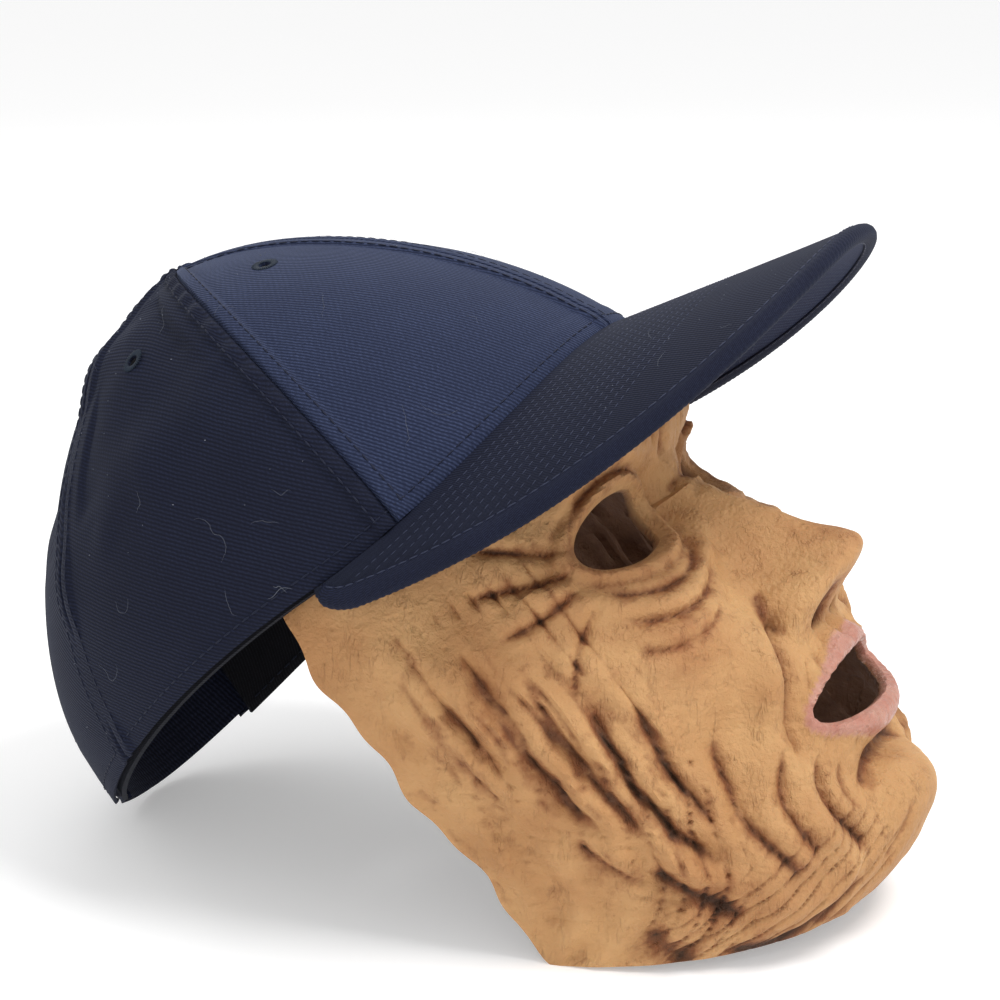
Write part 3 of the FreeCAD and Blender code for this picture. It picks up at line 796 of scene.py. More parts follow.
BAND_DARK, BAND_LIGHT = (0.004, 0.004, 0.006), (0.02, 0.021, 0.028)
band_twill = twill_material("sweatband_twill", BAND_DARK, BAND_LIGHT, 0.0008, 0.9, 0.0001)
piece = laid_grid("sweatband_cotton", 300, 24, band_shape)
thicken(piece, BAND_THICKNESS, -1.0)
piece.data.materials.append(band_twill)
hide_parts("sweatband")
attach(piece, "root")

band_u = np.linspace(0.005, 0.995, 900)
band_frames = []
for spot in (0.1, 0.93):
    line = band_shape(band_u, np.full_like(band_u, spot))
    angle = BAND_END * (1.0 - 2.0 * band_u)
    facing = -np.stack([np.cos(angle), np.sin(angle), np.zeros_like(angle)], -1)
    band_frames += stitches_along(line, facing)
piece = copies("sweatband_stitches", band_frames, navy_thread)
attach(piece, "root")


def build_plain_weave():
    """Node group: over-and-under threads along two directions of the object's own coordinates."""
    group = bpy.data.node_groups.new("plain_weave", "ShaderNodeTree")
    socket(group, "Place", "NodeSocketVector", "INPUT")
    socket(group, "Threads per metre", "NodeSocketFloat", "INPUT", 900.0)
    socket(group, "Height", "NodeSocketFloat", "OUTPUT")
    into, out = group.nodes.new("NodeGroupInput"), group.nodes.new("NodeGroupOutput")
    place = group.nodes.new("ShaderNodeSeparateXYZ")
    group.links.new(into.outputs["Place"], place.inputs[0])
    waves = []
    for first, second in ((0, 2), (1, 2)):
        tilt = math_node(group, "MULTIPLY_ADD", place.outputs[second], 0.35, place.outputs[first])
        phase = math_node(group, "MULTIPLY", tilt, into.outputs["Threads per metre"])
        waves.append(math_node(group, "SINE", math_node(group, "MULTIPLY", phase, 2.0 * math.pi)))
    both = math_node(group, "MULTIPLY", waves[0], waves[1])
    group.links.new(math_node(group, "MULTIPLY_ADD", both, 0.5, 0.5), out.inputs["Height"])
    return group


PLAIN_WEAVE = build_plain_weave()


def woven_material(name, dark, light, threads, roughness=0.85):
    """Plain weave: dark gaps and paler threads."""
    paint, tree, shader = new_paint(name)
    place = tree.nodes.new("ShaderNodeTexCoord")
    weave = tree.nodes.new("ShaderNodeGroup")
    weave.node_tree = PLAIN_WEAVE
    set_inputs(weave, {"Threads per metre": threads})
    tree.links.new(place.outputs["Object"], weave.inputs["Place"])
    tree.links.new(blended(tree, weave.outputs["Height"], dark, light), shader.inputs["Base Color"])
    emboss(tree, shader, weave.outputs["Height"], 0.7, 0.00015)
    set_inputs(shader, {"Roughness": roughness})
    return paint


tape_weave = woven_material("seam_tape_weave", (0.006, 0.006, 0.008), (0.03, 0.03, 0.036), 1100.0)
stiffener_weave = woven_material("stiffener_weave", (0.22, 0.22, 0.2), (0.62, 0.61, 0.57), 620.0)
pile_weave = woven_material("hook_pile_weave", (0.006, 0.007, 0.012), (0.05, 0.055, 0.07), 950.0, 0.5)
kept_nodes = {
    "seam_tape_centre": tape_weave,
    "seam_tape_left_front": tape_weave,
    "seam_tape_right_front": tape_weave,
    "front_buckram_left": stiffener_weave,
    "front_buckram_right": stiffener_weave,
    "loop_patch": pile_weave,
    "hook_patch": pile_weave,
}
for name, paint in kept_nodes.items():
    repaint(name, paint)


# ---------------------------------------------------------------- rear closure
# Webbing straps sewn behind the gores each side of the arch. The hook strap folds at the arch's edge and
# laps over the loop strap. A bias strip finishes the arch.

STRAP_ABOVE_HEM, STRAP_HEIGHT = 0.0015, 0.019
STRAP_INSIDE, TAB_OUTSIDE = 0.0015, -0.0015
STRAP_THICKNESS = 0.0009
TAB_FOLD_Y, TAB_STEP_END_Y, TAB_END_Y, TAB_GAP = -0.031, -0.020, 0.028, 0.0008
STRAP_ROOT_Y, LOOP_STRAP_END_Y = 0.050, -0.022


def back_at(y, height, depth):
    angle = math.pi - np.arcsin(y / CROWN_SIDE)
    normal = outward(crown_point, angle, height, 0.01, 0.0005)
    return crown_point(angle, height) - normal * depth[..., None]


def strap_shape(from_y, to_y, depth_at):
    """Shape function of a strap whose outer face lies at depth_at(y) under the crown's outer face."""
    def shape(u, v):
        y = to_y + (from_y - to_y) * u
        hem = hem_height(math.pi - np.arcsin(np.abs(y) / CROWN_SIDE))
        edge = 0.00012 * np.cos(v * 2.0 * math.pi * 9.0)
        return back_at(y, hem + STRAP_ABOVE_HEM + STRAP_HEIGHT * v, depth_at(y) - edge)
    return shape


def tab_depth(y):
    out = eased((y - TAB_FOLD_Y) / (TAB_STEP_END_Y - TAB_FOLD_Y))
    return STRAP_INSIDE + (TAB_OUTSIDE - STRAP_INSIDE) * out


def flat_depth(y):
    return np.full_like(y, STRAP_INSIDE)


webbing = twill_material("strap_webbing", NAVY_DEEP, (0.024, 0.031, 0.068), 0.0013, math.radians(75.0))
straps = (
    ("loop_strap", LOOP_STRAP_END_Y, STRAP_ROOT_Y, flat_depth, "root"),
    ("hook_strap_root", -STRAP_ROOT_Y, TAB_FOLD_Y - TAB_GAP, flat_depth, "root"),
    ("hook_strap_tab", TAB_FOLD_Y, TAB_END_Y, tab_depth, "closure_tab"),
)
for name, from_y, to_y, depth_at, body in straps:
    piece = laid_grid(name + "_webbing", 90, 36, strap_shape(from_y, to_y, depth_at))
    thicken(piece, STRAP_THICKNESS, -1.0)
    piece.data.materials.append(webbing)
    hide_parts(name)
    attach(piece, body)

tab = strap_shape(TAB_FOLD_Y, TAB_END_Y, tab_depth)
box_turn = np.linspace(0.0, 1.0, 160)
box_runs = (
    (0.10, 0.12, 0.10, 0.88), (0.10, 0.88, 0.44, 0.88), (0.44, 0.88, 0.44, 0.12),
    (0.44, 0.12, 0.10, 0.12), (0.03, 0.06, 0.03, 0.94),
)
box_frames = []
for u0, v0, u1, v1 in box_runs:
    u, v = u0 + (u1 - u0) * box_turn, v0 + (v1 - v0) * box_turn
    facing = np.tile(np.array([-1.0, 0.0, 0.0]), (len(u), 1))
    box_frames += stitches_along(tab(u, v), facing)
piece = copies("closure_tab_stitches", box_frames, navy_thread)
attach(piece, "closure_tab")

BINDING_START, BINDING_WALL, BINDING_WRAP = math.radians(36.0), 0.0003, 1.15


def binding_shape(u, v):
    """Half a tube over the raw edge of the arch, from the outer face to the inner one."""
    turn = BINDING_START + (math.pi - 2.0 * BINDING_START) * u
    bend = (v - 0.5) * math.pi * BINDING_WRAP
    radius = ARCH_RADIUS + 0.0006 - 0.0017 * np.cos(bend)
    depth = 0.0005 + 0.0012 * np.sin(bend)
    height = ARCH_CENTRE_Z + radius * np.sin(turn)
    return back_at(radius * np.cos(turn), height, depth)


piece = laid_grid("arch_bias_binding", 140, 14, lambda u, v: binding_shape(u, 1.0 - v))
thicken(piece, BINDING_WALL, -1.0)
piece.data.materials.append(piping_twill)
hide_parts("arch_binding")
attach(piece, "root")


# ---------------------------------------------------------------- latex face
# One latex casting, 2.6 mm thick, painted tan with a brown wash rubbed into the folds and pink lips.
# A smooth head surface carries a nose, masses and folds. Eye holes and mouth are cut through it, with
# soft edges.

LATEX_THICKNESS = 0.0026
REAR_EDGE_TOP, JAW_TIP = (15.0, 12.0), (18.0, -113.5)
MIDDLE_LINE = np.array([
    (92.5, 71.5, 22.0), (97.0, 73.0, 8.0), (100.5, 75.0, -13.0), (96.0, 75.5, -27.0), (98.5, 76.0, -48.0),
    (103.5, 74.0, -68.0), (106.0, 72.5, -78.0), (109.0, 71.0, -90.0), (106.0, 70.0, -98.5),
    (107.5, 69.0, -107.0), (101.0, 68.0, -117.0), (104.5, 66.0, -129.0), (96.0, 64.5, -142.0),
    (76.0, 63.5, -149.0),
])
MIDDLE_KNOTS = np.concatenate([[0.0], np.linalg.norm(np.diff(MIDDLE_LINE, axis=0), axis=1).cumsum()])
MIDDLE_KNOTS /= MIDDLE_KNOTS[-1]
CHEEK_LINE = MIDDLE_LINE.copy()
CHEEK_LINE[2:13, 0] = 99.0, 99.6, 100.6, 102.2, 103.2, 104.0, 104.2, 104.2, 103.6, 101.6, 94.5
EYE_HOLE = (33.0, -31.0, 16.0, 9.0)
MOUTH_HOLE = (0.0, -98.5, 26.0, 7.5)


def spline(stations, t, knots=None):
    """Natural cubic through the stations, by share of the chord length, for any array of shares."""
    if knots is None:
        knots = np.concatenate([[0.0], np.linalg.norm(np.diff(stations, axis=0), axis=1).cumsum()])
        knots /= knots[-1]
    step, slope = np.diff(knots), np.diff(stations, axis=0) / np.diff(knots)[:, None]
    count = len(knots)
    matrix, right = np.eye(count), np.zeros_like(stations)
    for row in range(1, count - 1):
        matrix[row, row - 1 : row + 2] = step[row - 1], 2.0 * (step[row - 1] + step[row]), step[row]
        right[row] = 6.0 * (slope[row] - slope[row - 1])
    bend = np.linalg.solve(matrix, right)
    cell = np.clip(np.searchsorted(knots, t) - 1, 0, count - 2)
    near, far, width = (t - knots[cell])[..., None], (knots[cell + 1] - t)[..., None], step[cell][..., None]
    start, end = bend[cell], bend[cell + 1]
    curved = (start * far**3 + end * near**3) / (6.0 * width)
    return curved + (stations[cell] / width - start * width / 6.0) * far + (
        stations[cell + 1] / width - end * width / 6.0
    ) * near


def bell(distance, width):
    return np.exp(-((distance / width) ** 2))


def mound(side, level, centre_side, half_width, centre_level, half_height):
    """1 at the centre, falling away smoothly all round it."""
    return np.exp(-(((side - centre_side) / half_width) ** 2) - ((level - centre_level) / half_height) ** 2)


def face_smooth(u, v):
    """Head surface in millimetres, without nose or features; u runs right to left, v from brow to jaw."""
    levels = np.clip(v, 0.0, 1.0)
    middle, cheek = (spline(line, levels, MIDDLE_KNOTS) for line in (MIDDLE_LINE, CHEEK_LINE))
    rear_x = REAR_EDGE_TOP[0] + (JAW_TIP[0] - REAR_EDGE_TOP[0]) * v
    rear_x = rear_x + 1.3 * np.sin(19.0 * v) + 0.7 * np.sin(43.0 * v)
    rear_z = REAR_EDGE_TOP[1] + (JAW_TIP[1] - REAR_EDGE_TOP[1]) * v
    power = 2.0 + 0.35 * np.sin(math.pi * np.clip(v, 0.0, 1.0)) ** 3
    share = np.clip(u, 0.0, 1.0) * 2.0 - 1.0
    turn = share * (0.78 + 0.22 * share**2) * math.pi / 2.0
    cosine, sine = np.maximum(0.0, np.cos(turn)), np.sin(turn)
    radius = (cosine**power + np.abs(sine) ** power) ** (-1.0 / power)
    ahead, y = cosine * radius, sine * radius * cheek[..., 1]
    front = cheek + (middle - cheek) * bell(y, 24.0)[..., None]
    x, z = rear_x + (front[..., 0] - rear_x) * ahead, rear_z + (front[..., 2] - rear_z) * ahead
    return np.stack([x, y, z], -1)


NOSE_STATIONS = np.array([
    (-20.0, 0.0, 8.0), (-30.0, 3.0, 8.0), (-40.0, 9.0, 8.5), (-50.0, 14.5, 9.5), (-58.0, 18.0, 10.5),
    (-64.0, 22.0, 12.5), (-68.5, 24.0, 14.0), (-72.0, 21.0, 14.5), (-75.0, 14.0, 14.5), (-78.0, 5.0, 14.0),
    (-82.0, 0.0, 13.0),
])[::-1]


def nose(y, z):
    """Forward height of the nose: a ridge, a rounder tip, two wings and two nostrils."""
    levels = z[..., None] + np.linspace(-2.6, 2.6, 5)
    stations, heights, widths = NOSE_STATIONS.T
    height, width = (np.interp(levels, stations, values).mean(-1) for values in (heights, widths))
    side = np.abs(y)
    ridge = height * np.exp(-((side / width) ** 2.4))
    wings = 7.5 * mound(side, z, 14.0, 6.0, -71.5, 6.8)
    tip = 1.8 * bell(np.hypot(side, z + 66.5), 7.0)
    nostrils = 8.5 * mound(side, z, 7.2, 3.6, -77.0, 2.6)
    return ridge + wings + tip - nostrils


def hole_radius(y, z, hole):
    """1 on the hole's edge; also the distance from that edge in millimetres."""
    side, level = np.abs(y) - hole[0] if hole[0] else y, z - hole[1]
    radius = np.sqrt((side / hole[2]) ** 2 + (level / hole[3]) ** 2)
    reach = np.hypot(side, level) / np.maximum(radius, 0.05)
    return radius, (radius - 1.0) * reach, side, level


FOLD_POINTS = 26


def from_line(side, level, corners):
    """Distance to a smooth line, the share of the way along it, and which hand of it each point is on."""
    line = spline(np.array(corners, float), np.linspace(0.0, 1.0, FOLD_POINTS))
    nearest = np.full(side.shape, 1e9)
    share, hand = np.zeros_like(side), np.zeros_like(side)
    for index in range(len(line) - 1):
        (y0, z0), (y1, z1) = line[index], line[index + 1]
        run = np.hypot(y1 - y0, z1 - z0)
        along = np.clip(((side - y0) * (y1 - y0) + (level - z0) * (z1 - z0)) / run**2, 0.0, 1.0)
        away_y, away_z = side - y0 - along * (y1 - y0), level - z0 - along * (z1 - z0)
        distance = np.hypot(away_y, away_z)
        closer = distance < nearest
        nearest = np.where(closer, distance, nearest)
        share = np.where(closer, (index + along) / (len(line) - 1), share)
        hand = np.where(closer, np.sign((y1 - y0) * away_z - (z1 - z0) * away_y), hand)
    return nearest, share, hand


# Folds, mirrored left and right: corners by arc length from the middle line and height, both in
# millimetres; then width, depth, and the swell on the left hand and on the right hand of the line.
FOLDS = (
    (((16, -63), (20.5, -67), (22, -73), (19.5, -79)), 1.5, 2.0, 0.0, 0.4),
    (((18.5, -66), (24, -76), (30, -87), (35, -98), (37, -108)), 2.1, 3.4, 2.9, 0.3),
    (((30, -103), (33.5, -111), (34, -120), (30, -129), (26, -135)), 1.8, 2.5, 1.9, 0.4),
    (((39, -96), (44, -106), (45.5, -116), (43, -127)), 1.7, 1.7, 1.4, 0.3),
    (((52, -84), (56, -96), (56, -109), (52, -121), (47, -130)), 1.8, 1.5, 1.3, 0.4),
    (((-3, -116.4), (8, -116.2), (16, -118), (22, -122)), 2.4, 2.3, 0.2, 0.8),
    (((16, -38), (22, -45), (32, -49.5), (43, -48.5), (53, -42), (57, -36)), 1.7, 2.1, 0.6, 1.2),
    (((20, -49), (28, -55), (39, -57.5), (50, -54), (58, -47)), 1.4, 1.5, 0.5, 0.9),
    (((29, -60), (40, -64), (52, -62), (62, -55)), 1.2, 0.9, 0.4, 0.5),
    (((17, -27), (24, -19.5), (34, -17.5), (45, -19), (53, -26), (56, -32)), 1.3, 1.9, 1.1, 0.5),
    (((53, -28), (61, -23), (69, -17), (77, -12)), 1.1, 1.6, 0.6, 0.6),
    (((55, -32), (64, -30), (73, -26), (83, -22)), 1.1, 1.7, 0.6, 0.6),
    (((56, -36), (65, -37), (75, -37), (85, -35)), 1.1, 1.5, 0.6, 0.5),
    (((56, -41), (65, -46), (73, -52), (79, -60)), 1.0, 1.1, 0.5, 0.5),
    (((5.5, -9), (6.5, -16), (5.5, -23)), 1.5, 2.0, 0.7, 0.7),
    (((10, -5), (12, -12), (11, -19)), 1.2, 1.1, 0.5, 0.5),
    (((-4, -29), (3, -28.4), (9, -30)), 1.2, 1.6, 0.4, 0.6),
    (((-4, -33.5), (3, -33), (8, -35.5)), 0.9, 0.9, 0.3, 0.3),
    (((-5, 2), (15, 4), (35, 1), (52, 4)), 1.5, 1.5, 0.7, 0.7),
    (((-5, 10), (18, 12), (40, 9), (60, 11)), 1.5, 1.4, 0.7, 0.7),
    (((13, -38), (14.5, -46), (13.5, -54)), 1.2, 1.0, 0.3, 0.3),
    (((66, -66), (68.5, -80), (67, -95), (62, -108)), 1.4, 1.5, 0.9, 0.4),
    (((75, -58), (78.5, -72), (78, -88), (73, -103), (66, -116)), 1.7, 2.3, 1.5, 0.5),
    (((84, -40), (87, -55), (88, -72), (85, -88), (80, -102)), 1.4, 1.4, 0.9, 0.4),
    (((92, -28), (97, -45), (98.5, -63), (96, -80), (90, -96)), 1.7, 2.1, 1.4, 0.5),
    (((101, -16), (106, -32), (108, -50), (107, -66)), 1.4, 1.3, 0.8, 0.4),
    (((110, -26), (114, -42), (115, -60), (113, -74)), 1.4, 1.5, 0.9, 0.5),
    (((88, -104), (80, -113), (70, -122), (60, -129)), 1.6, 1.7, 0.4, 1.1),
    (((99, -88), (95, -99), (87, -109)), 1.3, 1.2, 0.4, 0.8),
    (((62, -133), (50, -138), (38, -140), (26, -138)), 1.8, 1.8, 0.5, 1.3),
    (((88, -118), (76, -127), (64, -134)), 1.5, 1.4, 0.4, 0.9),
    (((20, -142), (33, -145), (48, -144), (60, -139)), 1.5, 1.3, 0.5, 0.6),
    (((10, -131), (15, -136), (22, -139)), 1.3, 1.0, 0.4, 0.4),
    (((24, -109), (27, -116), (26, -124)), 1.1, 1.0, 0.4, 0.4),
    (((14.5, -84.5), (17, -88), (18, -92)), 0.9, 0.9, 0.3, 0.3),
    (((19.5, -84), (23, -89), (24.5, -93)), 0.9, 1.0, 0.3, 0.3),
    (((9, -82.5), (10.5, -86)), 0.8, 0.6, 0.2, 0.2),
    (((12, -108), (13, -114)), 0.8, 0.6, 0.2, 0.2),
)


def fold_field(side, level, warp):
    """Relief of all the folds in millimetres, and how deep in a fold each point is, 0 to 1."""
    relief, depth_share = np.zeros_like(side), np.zeros_like(side)
    for corners, width, depth, left_swell, right_swell in FOLDS:
        reach = 7.0 * width
        ys, zs = np.array(corners, float).T
        near = (side > ys.min() - reach) & (side < ys.max() + reach)
        near &= (level > zs.min() - reach) & (level < zs.max() + reach)
        distance, share, hand = from_line(side[near], level[near], corners)
        taper = eased(share / 0.22) * eased((1.0 - share) / 0.22)
        taper *= 0.75 + 0.5 * warp[near]
        swell = np.where(hand > 0, left_swell, right_swell)
        groove = np.exp(-((distance / width) ** 1.25))
        bank = bell(distance - 2.6 * width, 2.4 * width)
        relief[near] += taper * (1.7 * swell * bank - 1.5 * depth * groove)
        painted = taper * min(1.0, depth / 1.6) * np.exp(-((distance / width) ** 1.1))
        depth_share[near] = np.maximum(depth_share[near], painted)
    return relief, depth_share


def ridged(value):
    """Sharp creases at every whole turn of pi, round between them."""
    return 1.0 - np.abs(np.sin(value))


# Brows, the space between them, eye sockets and their inner corners, cheekbones, hollows, jowls, chin, the
# dip under the lip, the cheeks beside the nose, and temples: height, side, half width, level, half height.
FACE_MASSES = (
    (4.6, 31.0, 22.0, -14.0, 7.0),
    (2.2, 0.0, 9.0, -14.0, 8.0),
    (-8.0, 31.0, 20.0, -31.0, 11.0),
    (-3.5, 14.0, 7.0, -31.0, 9.0),
    (5.6, 46.0, 16.0, -62.0, 13.0),
    (-4.6, 55.0, 14.0, -92.0, 15.0),
    (4.4, 47.0, 12.0, -121.0, 9.0),
    (3.6, 0.0, 16.0, -130.0, 9.0),
    (-1.2, 0.0, 17.0, -117.5, 4.5),
    (2.5, 28.0, 9.0, -82.0, 10.0),
    (-3.0, 88.0, 12.0, -20.0, 22.0),
)


def face_relief(place, side, level):
    """Outward relief in millimetres over the smooth head, with paint masks for the wash, lips and flush."""
    metres = place / 1000.0
    bend = soft_noise(metres, 22.0, 1.0)
    warp = np.stack([soft_noise(metres, 17.0, 11.0), soft_noise(metres, 17.0, 23.0)], -1)
    fine = soft_noise(metres, 110.0, 31.0)
    s = np.abs(side + 2.2 * warp[..., 0] + 0.15 * fine)
    z = level + 2.2 * warp[..., 1] + 0.15 * fine
    y_place, z_place = place[..., 1], place[..., 2]
    eye, eye_gap, _, eye_level = hole_radius(y_place, z_place, EYE_HOLE)
    _, mouth_gap, mouth_side, mouth_level = hole_radius(y_place, z_place, MOUTH_HOLE)

    relief = sum(height * mound(s, z, *place_and_size) for height, *place_and_size in FACE_MASSES)

    # Eyelids and the soft edges of the holes.
    lid = bell(eye_gap - 2.3, 2.3) * 3.1
    lid += np.where(eye_level < 0, 1.0, 0.0) * bell(eye_gap - 9.5, 4.2) * 2.6
    lid -= 1.2 * bell(eye_gap - 5.6, 1.1) * np.where(eye_level > 0, 1.0, 0.45)
    relief += lid - 1.0 * bell(eye_gap, 0.8) - 0.8 * bell(mouth_gap, 0.8)

    # Lips, the groove above them and the fine lines across and round them.
    upper = mouth_level > 0
    bow = 1.0 - 0.22 * bell(mouth_side, 4.0) + 0.12 * bell(np.abs(mouth_side) - 6.5, 4.0)
    corner = np.sqrt(np.clip(1.0 - (mouth_side / 33.0) ** 2, 0.03, 1.0))
    lip_width = np.where(upper, 6.4 * bow, 7.8) * corner
    across = mouth_gap / lip_width
    roll = np.where(across < 1.0, np.sin(math.pi * np.clip(0.24 + 0.72 * across, 0.0, 1.0)) ** 0.8, 0.0)
    roll += np.where(across >= 1.0, 0.167 * bell(across - 1.0, 0.35), 0.0)
    relief += roll * np.where(upper, 2.6, 3.4) * (0.35 + 0.65 * corner)
    relief += 0.8 * bell(across - 1.08, 0.12) * np.where(upper, 1.0, 0.4)
    relief -= 1.6 * mound(mouth_side, z_place, 0.0, 2.6, -84.0, 3.4)
    for ridge_side in (-4.2, 4.2):
        relief += 0.9 * mound(mouth_side, z_place, ridge_side, 1.7, -84.0, 3.6)
    pucker = ridged(mouth_side * 0.62 + 1.2 * warp[..., 0]) ** 3
    lips = eased((1.08 - across) / 0.16)
    relief -= 0.42 * pucker * lips
    around = eased((across - 1.0) / 0.2) * eased((2.6 - across) / 1.2)
    relief -= 0.75 * ridged(mouth_side * 0.36 + 1.5 * warp[..., 0]) ** 5 * around

    # Folds, the loose skin of cheeks and jaw, and the leathery surface.
    folds, creased = fold_field(s, z, np.clip(bend + 0.4 * fine, -1.0, 1.0))
    relief += folds
    cheek = eased((s - 52.0) / 16.0) * eased((-z - 14.0) / 12.0)
    run = s + 0.10 * (z + 80.0) + 5.5 * warp[..., 0] + 0.3 * fine
    drape = ridged(run * math.pi / 5.4) ** 4
    patchy = np.clip(0.5 + 0.9 * bend + 0.7 * warp[..., 1], 0.0, 1.0)
    relief -= 1.5 * drape * cheek * patchy
    hang = np.sin((s - 0.12 * (z + 80.0) + 7.0 * warp[..., 0]) * 2.0 * math.pi / 13.0)
    hanging = eased((s - 60.0) / 14.0) * eased((-z - 30.0) / 18.0)
    relief += 1.1 * hang * hanging * eased((z + 150.0) / 18.0)
    jaw = eased((-z - 112.0) / 12.0) * eased((s - 6.0) / 10.0)
    under = ridged((z + 0.32 * s + 4.0 * warp[..., 1] + 0.25 * fine) * math.pi / 4.6) ** 4
    relief -= 1.2 * under * jaw * patchy
    cross = ridged((z - 0.55 * s + 5.0 * warp[..., 0]) * math.pi / 4.0) ** 5
    relief -= 0.5 * cross * eased((s - 24.0) / 10.0) * (1.0 - jaw) * eased((-z - 48.0) / 10.0)
    leather = ridged((s * 0.8 + 0.9 * z + 3.0 * fine + 6.0 * bend) * math.pi / 5.0) ** 3
    leather *= ridged((s - 0.7 * z + 3.0 * fine) * math.pi / 6.5)
    relief -= 0.45 * leather
    coarse = soft_noise(metres, 230.0, 47.0)
    relief += 0.9 * bend + 0.4 * warp[..., 0] + 0.42 * fine + 0.26 * coarse

    # Paint: brown wash in the low places, and a flush on nose, cheeks and lids.
    wash = creased + 0.55 * drape * cheek * patchy + 0.5 * under * jaw * patchy
    wash += 0.16 * np.clip(-hang, 0.0, 1.0) * hanging + 0.12 * np.clip(-fine - coarse, 0.0, 1.0)
    wash = np.maximum(wash, 0.9 * eased((1.32 - eye) / 0.3) * eased((eye_gap - 0.6) / 1.2) * 0.6)
    wash = np.maximum(wash, (0.32 + 0.3 * warp[..., 0]) * bell(eye_gap - 5.6, 1.1))
    wash = np.maximum(wash, 1.2 * mound(np.abs(y_place), z_place, 7.2, 4.2, -77.0, 3.2))
    flush = 0.55 * bell(np.hypot(y_place, z_place + 66.0), 15.0)
    flush += 0.45 * mound(s, z, 47.0, 16.0, -62.0, 12.0)
    flush += 0.35 * bell(eye_gap - 3.0, 5.0) + 0.3 * np.clip(warp[..., 1] + bend, 0.0, 1.0)
    return relief, np.clip(wash, 0.0, 1.2), lips, np.clip(flush, 0.0, 1.0)


FACE_STEP = 0.004
LENGTH_ROWS, LENGTH_COLUMNS = 40, 60


def side_length(u, v):
    """Arc length from the middle line, in millimetres, read off a table of half the head."""
    columns, rows = np.linspace(0.5, 1.0, LENGTH_COLUMNS), np.linspace(0.0, 1.0, LENGTH_ROWS)
    grid = face_smooth(*np.meshgrid(columns, rows))
    lengths = np.linalg.norm(np.diff(grid, axis=1), axis=2).cumsum(axis=1)
    lengths = np.hstack([np.zeros((LENGTH_ROWS, 1)), lengths])
    row, column = v * (LENGTH_ROWS - 1.0), np.abs(u - 0.5) * 2.0 * (LENGTH_COLUMNS - 1.0)
    r0 = np.clip(row.astype(int), 0, LENGTH_ROWS - 2)
    c0 = np.clip(column.astype(int), 0, LENGTH_COLUMNS - 2)
    fr, fc = row - r0, column - c0
    side = (lengths[r0, c0] * (1 - fr) + lengths[r0 + 1, c0] * fr) * (1 - fc)
    side = side + (lengths[r0, c0 + 1] * (1 - fr) + lengths[r0 + 1, c0 + 1] * fr) * fc
    return side * np.where(u < 0.5, -1.0, 1.0)


def face_layers(u, v):
    """Outer face, the direction its relief was raised in, and the paint masks."""
    smooth = face_smooth(u, v)
    y, z = smooth[..., 1], smooth[..., 2]
    based = smooth.copy()
    based[..., 0] += nose(y, z)
    ahead, behind = np.clip(u + FACE_STEP, 0.0, 1.0), np.clip(u - FACE_STEP, 0.0, 1.0)
    upper, lower = np.clip(v - FACE_STEP, 0.0, 1.0), np.clip(v + FACE_STEP, 0.0, 1.0)
    around = face_smooth(ahead, v) - face_smooth(behind, v)
    down = face_smooth(u, lower) - face_smooth(u, upper)
    for step, near, far in ((around, (behind, v), (ahead, v)), (down, (u, upper), (u, lower))):
        first, last = face_smooth(*near), face_smooth(*far)
        step[..., 0] += nose(last[..., 1], last[..., 2]) - nose(first[..., 1], first[..., 2])
    normal = -np.cross(around, down)
    normal /= np.maximum(np.linalg.norm(normal, axis=-1, keepdims=True), 1e-9)
    relief, wash, lips, flush = face_relief(smooth, side_length(u, v), z)
    edge = np.minimum(np.minimum(u, 1.0 - u) / 0.03, np.minimum(v / 0.03, (1.0 - v) / 0.02))
    kept = eased(np.clip(edge, 0.0, 1.0) * 0.8 + 0.2)
    outer = based + normal * (relief * kept)[..., None]
    return outer, normal, (wash, lips, flush)


FIT_STEP, FIT_ROUNDS, SMOOTHED_RINGS = 0.001, 12, 5


def fit_holes(u, v):
    """Slide the grid so that rows of its points lie exactly on the edges of the holes."""
    u, v = u.copy(), v.copy()
    place = face_smooth(u, v)
    open_area = np.zeros(u.shape, bool)
    for hole in (EYE_HOLE, MOUTH_HOLE):
        open_area |= hole_radius(place[..., 1], place[..., 2], hole)[0] < 1.0
    grown = np.zeros_like(open_area)
    for shift_row in (-1, 0, 1):
        for shift_column in (-1, 0, 1):
            grown |= np.roll(open_area, (shift_row, shift_column), (0, 1))
    rim = grown & ~open_area
    near = rim.copy()
    for _ in range(SMOOTHED_RINGS):
        near |= np.roll(near, 1, 0) | np.roll(near, -1, 0) | np.roll(near, 1, 1) | np.roll(near, -1, 1)
    near &= ~open_area & ~rim
    for _ in range(FIT_ROUNDS):
        place = face_smooth(u, v)
        rows = face_smooth(u, v + FIT_STEP)
        columns = face_smooth(u + FIT_STEP, v)
        eye = hole_radius(place[..., 1], place[..., 2], EYE_HOLE)[0]
        mouth = hole_radius(place[..., 1], place[..., 2], MOUTH_HOLE)[0]
        for hole, radius, mine in ((EYE_HOLE, eye, eye < mouth), (MOUTH_HOLE, mouth, mouth <= eye)):
            slope_u = (hole_radius(columns[..., 1], columns[..., 2], hole)[0] - radius) / FIT_STEP
            slope_v = (hole_radius(rows[..., 1], rows[..., 2], hole)[0] - radius) / FIT_STEP
            scale = (1.0 - radius) / np.maximum(slope_u**2 + slope_v**2, 1e-6)
            at = rim & mine
            u[at] += (scale * slope_u)[at]
            v[at] += (scale * slope_v)[at]
        for field in (u, v):
            shifts = ((1, 0), (-1, 0), (1, 1), (-1, 1))
            field[near] = sum(np.roll(field, step, axis) for step, axis in shifts)[near] / 4.0
    return u, v, open_area


face_extra = {}


def face_shape(u, v):
    u, v, open_area = fit_holes(u, v)
    outer, normal, masks = face_layers(u, v)
    face_extra["open"], face_extra["masks"] = open_area, masks
    face_extra["inner"] = outer - normal * LATEX_THICKNESS * 1000.0
    return outer / 1000.0


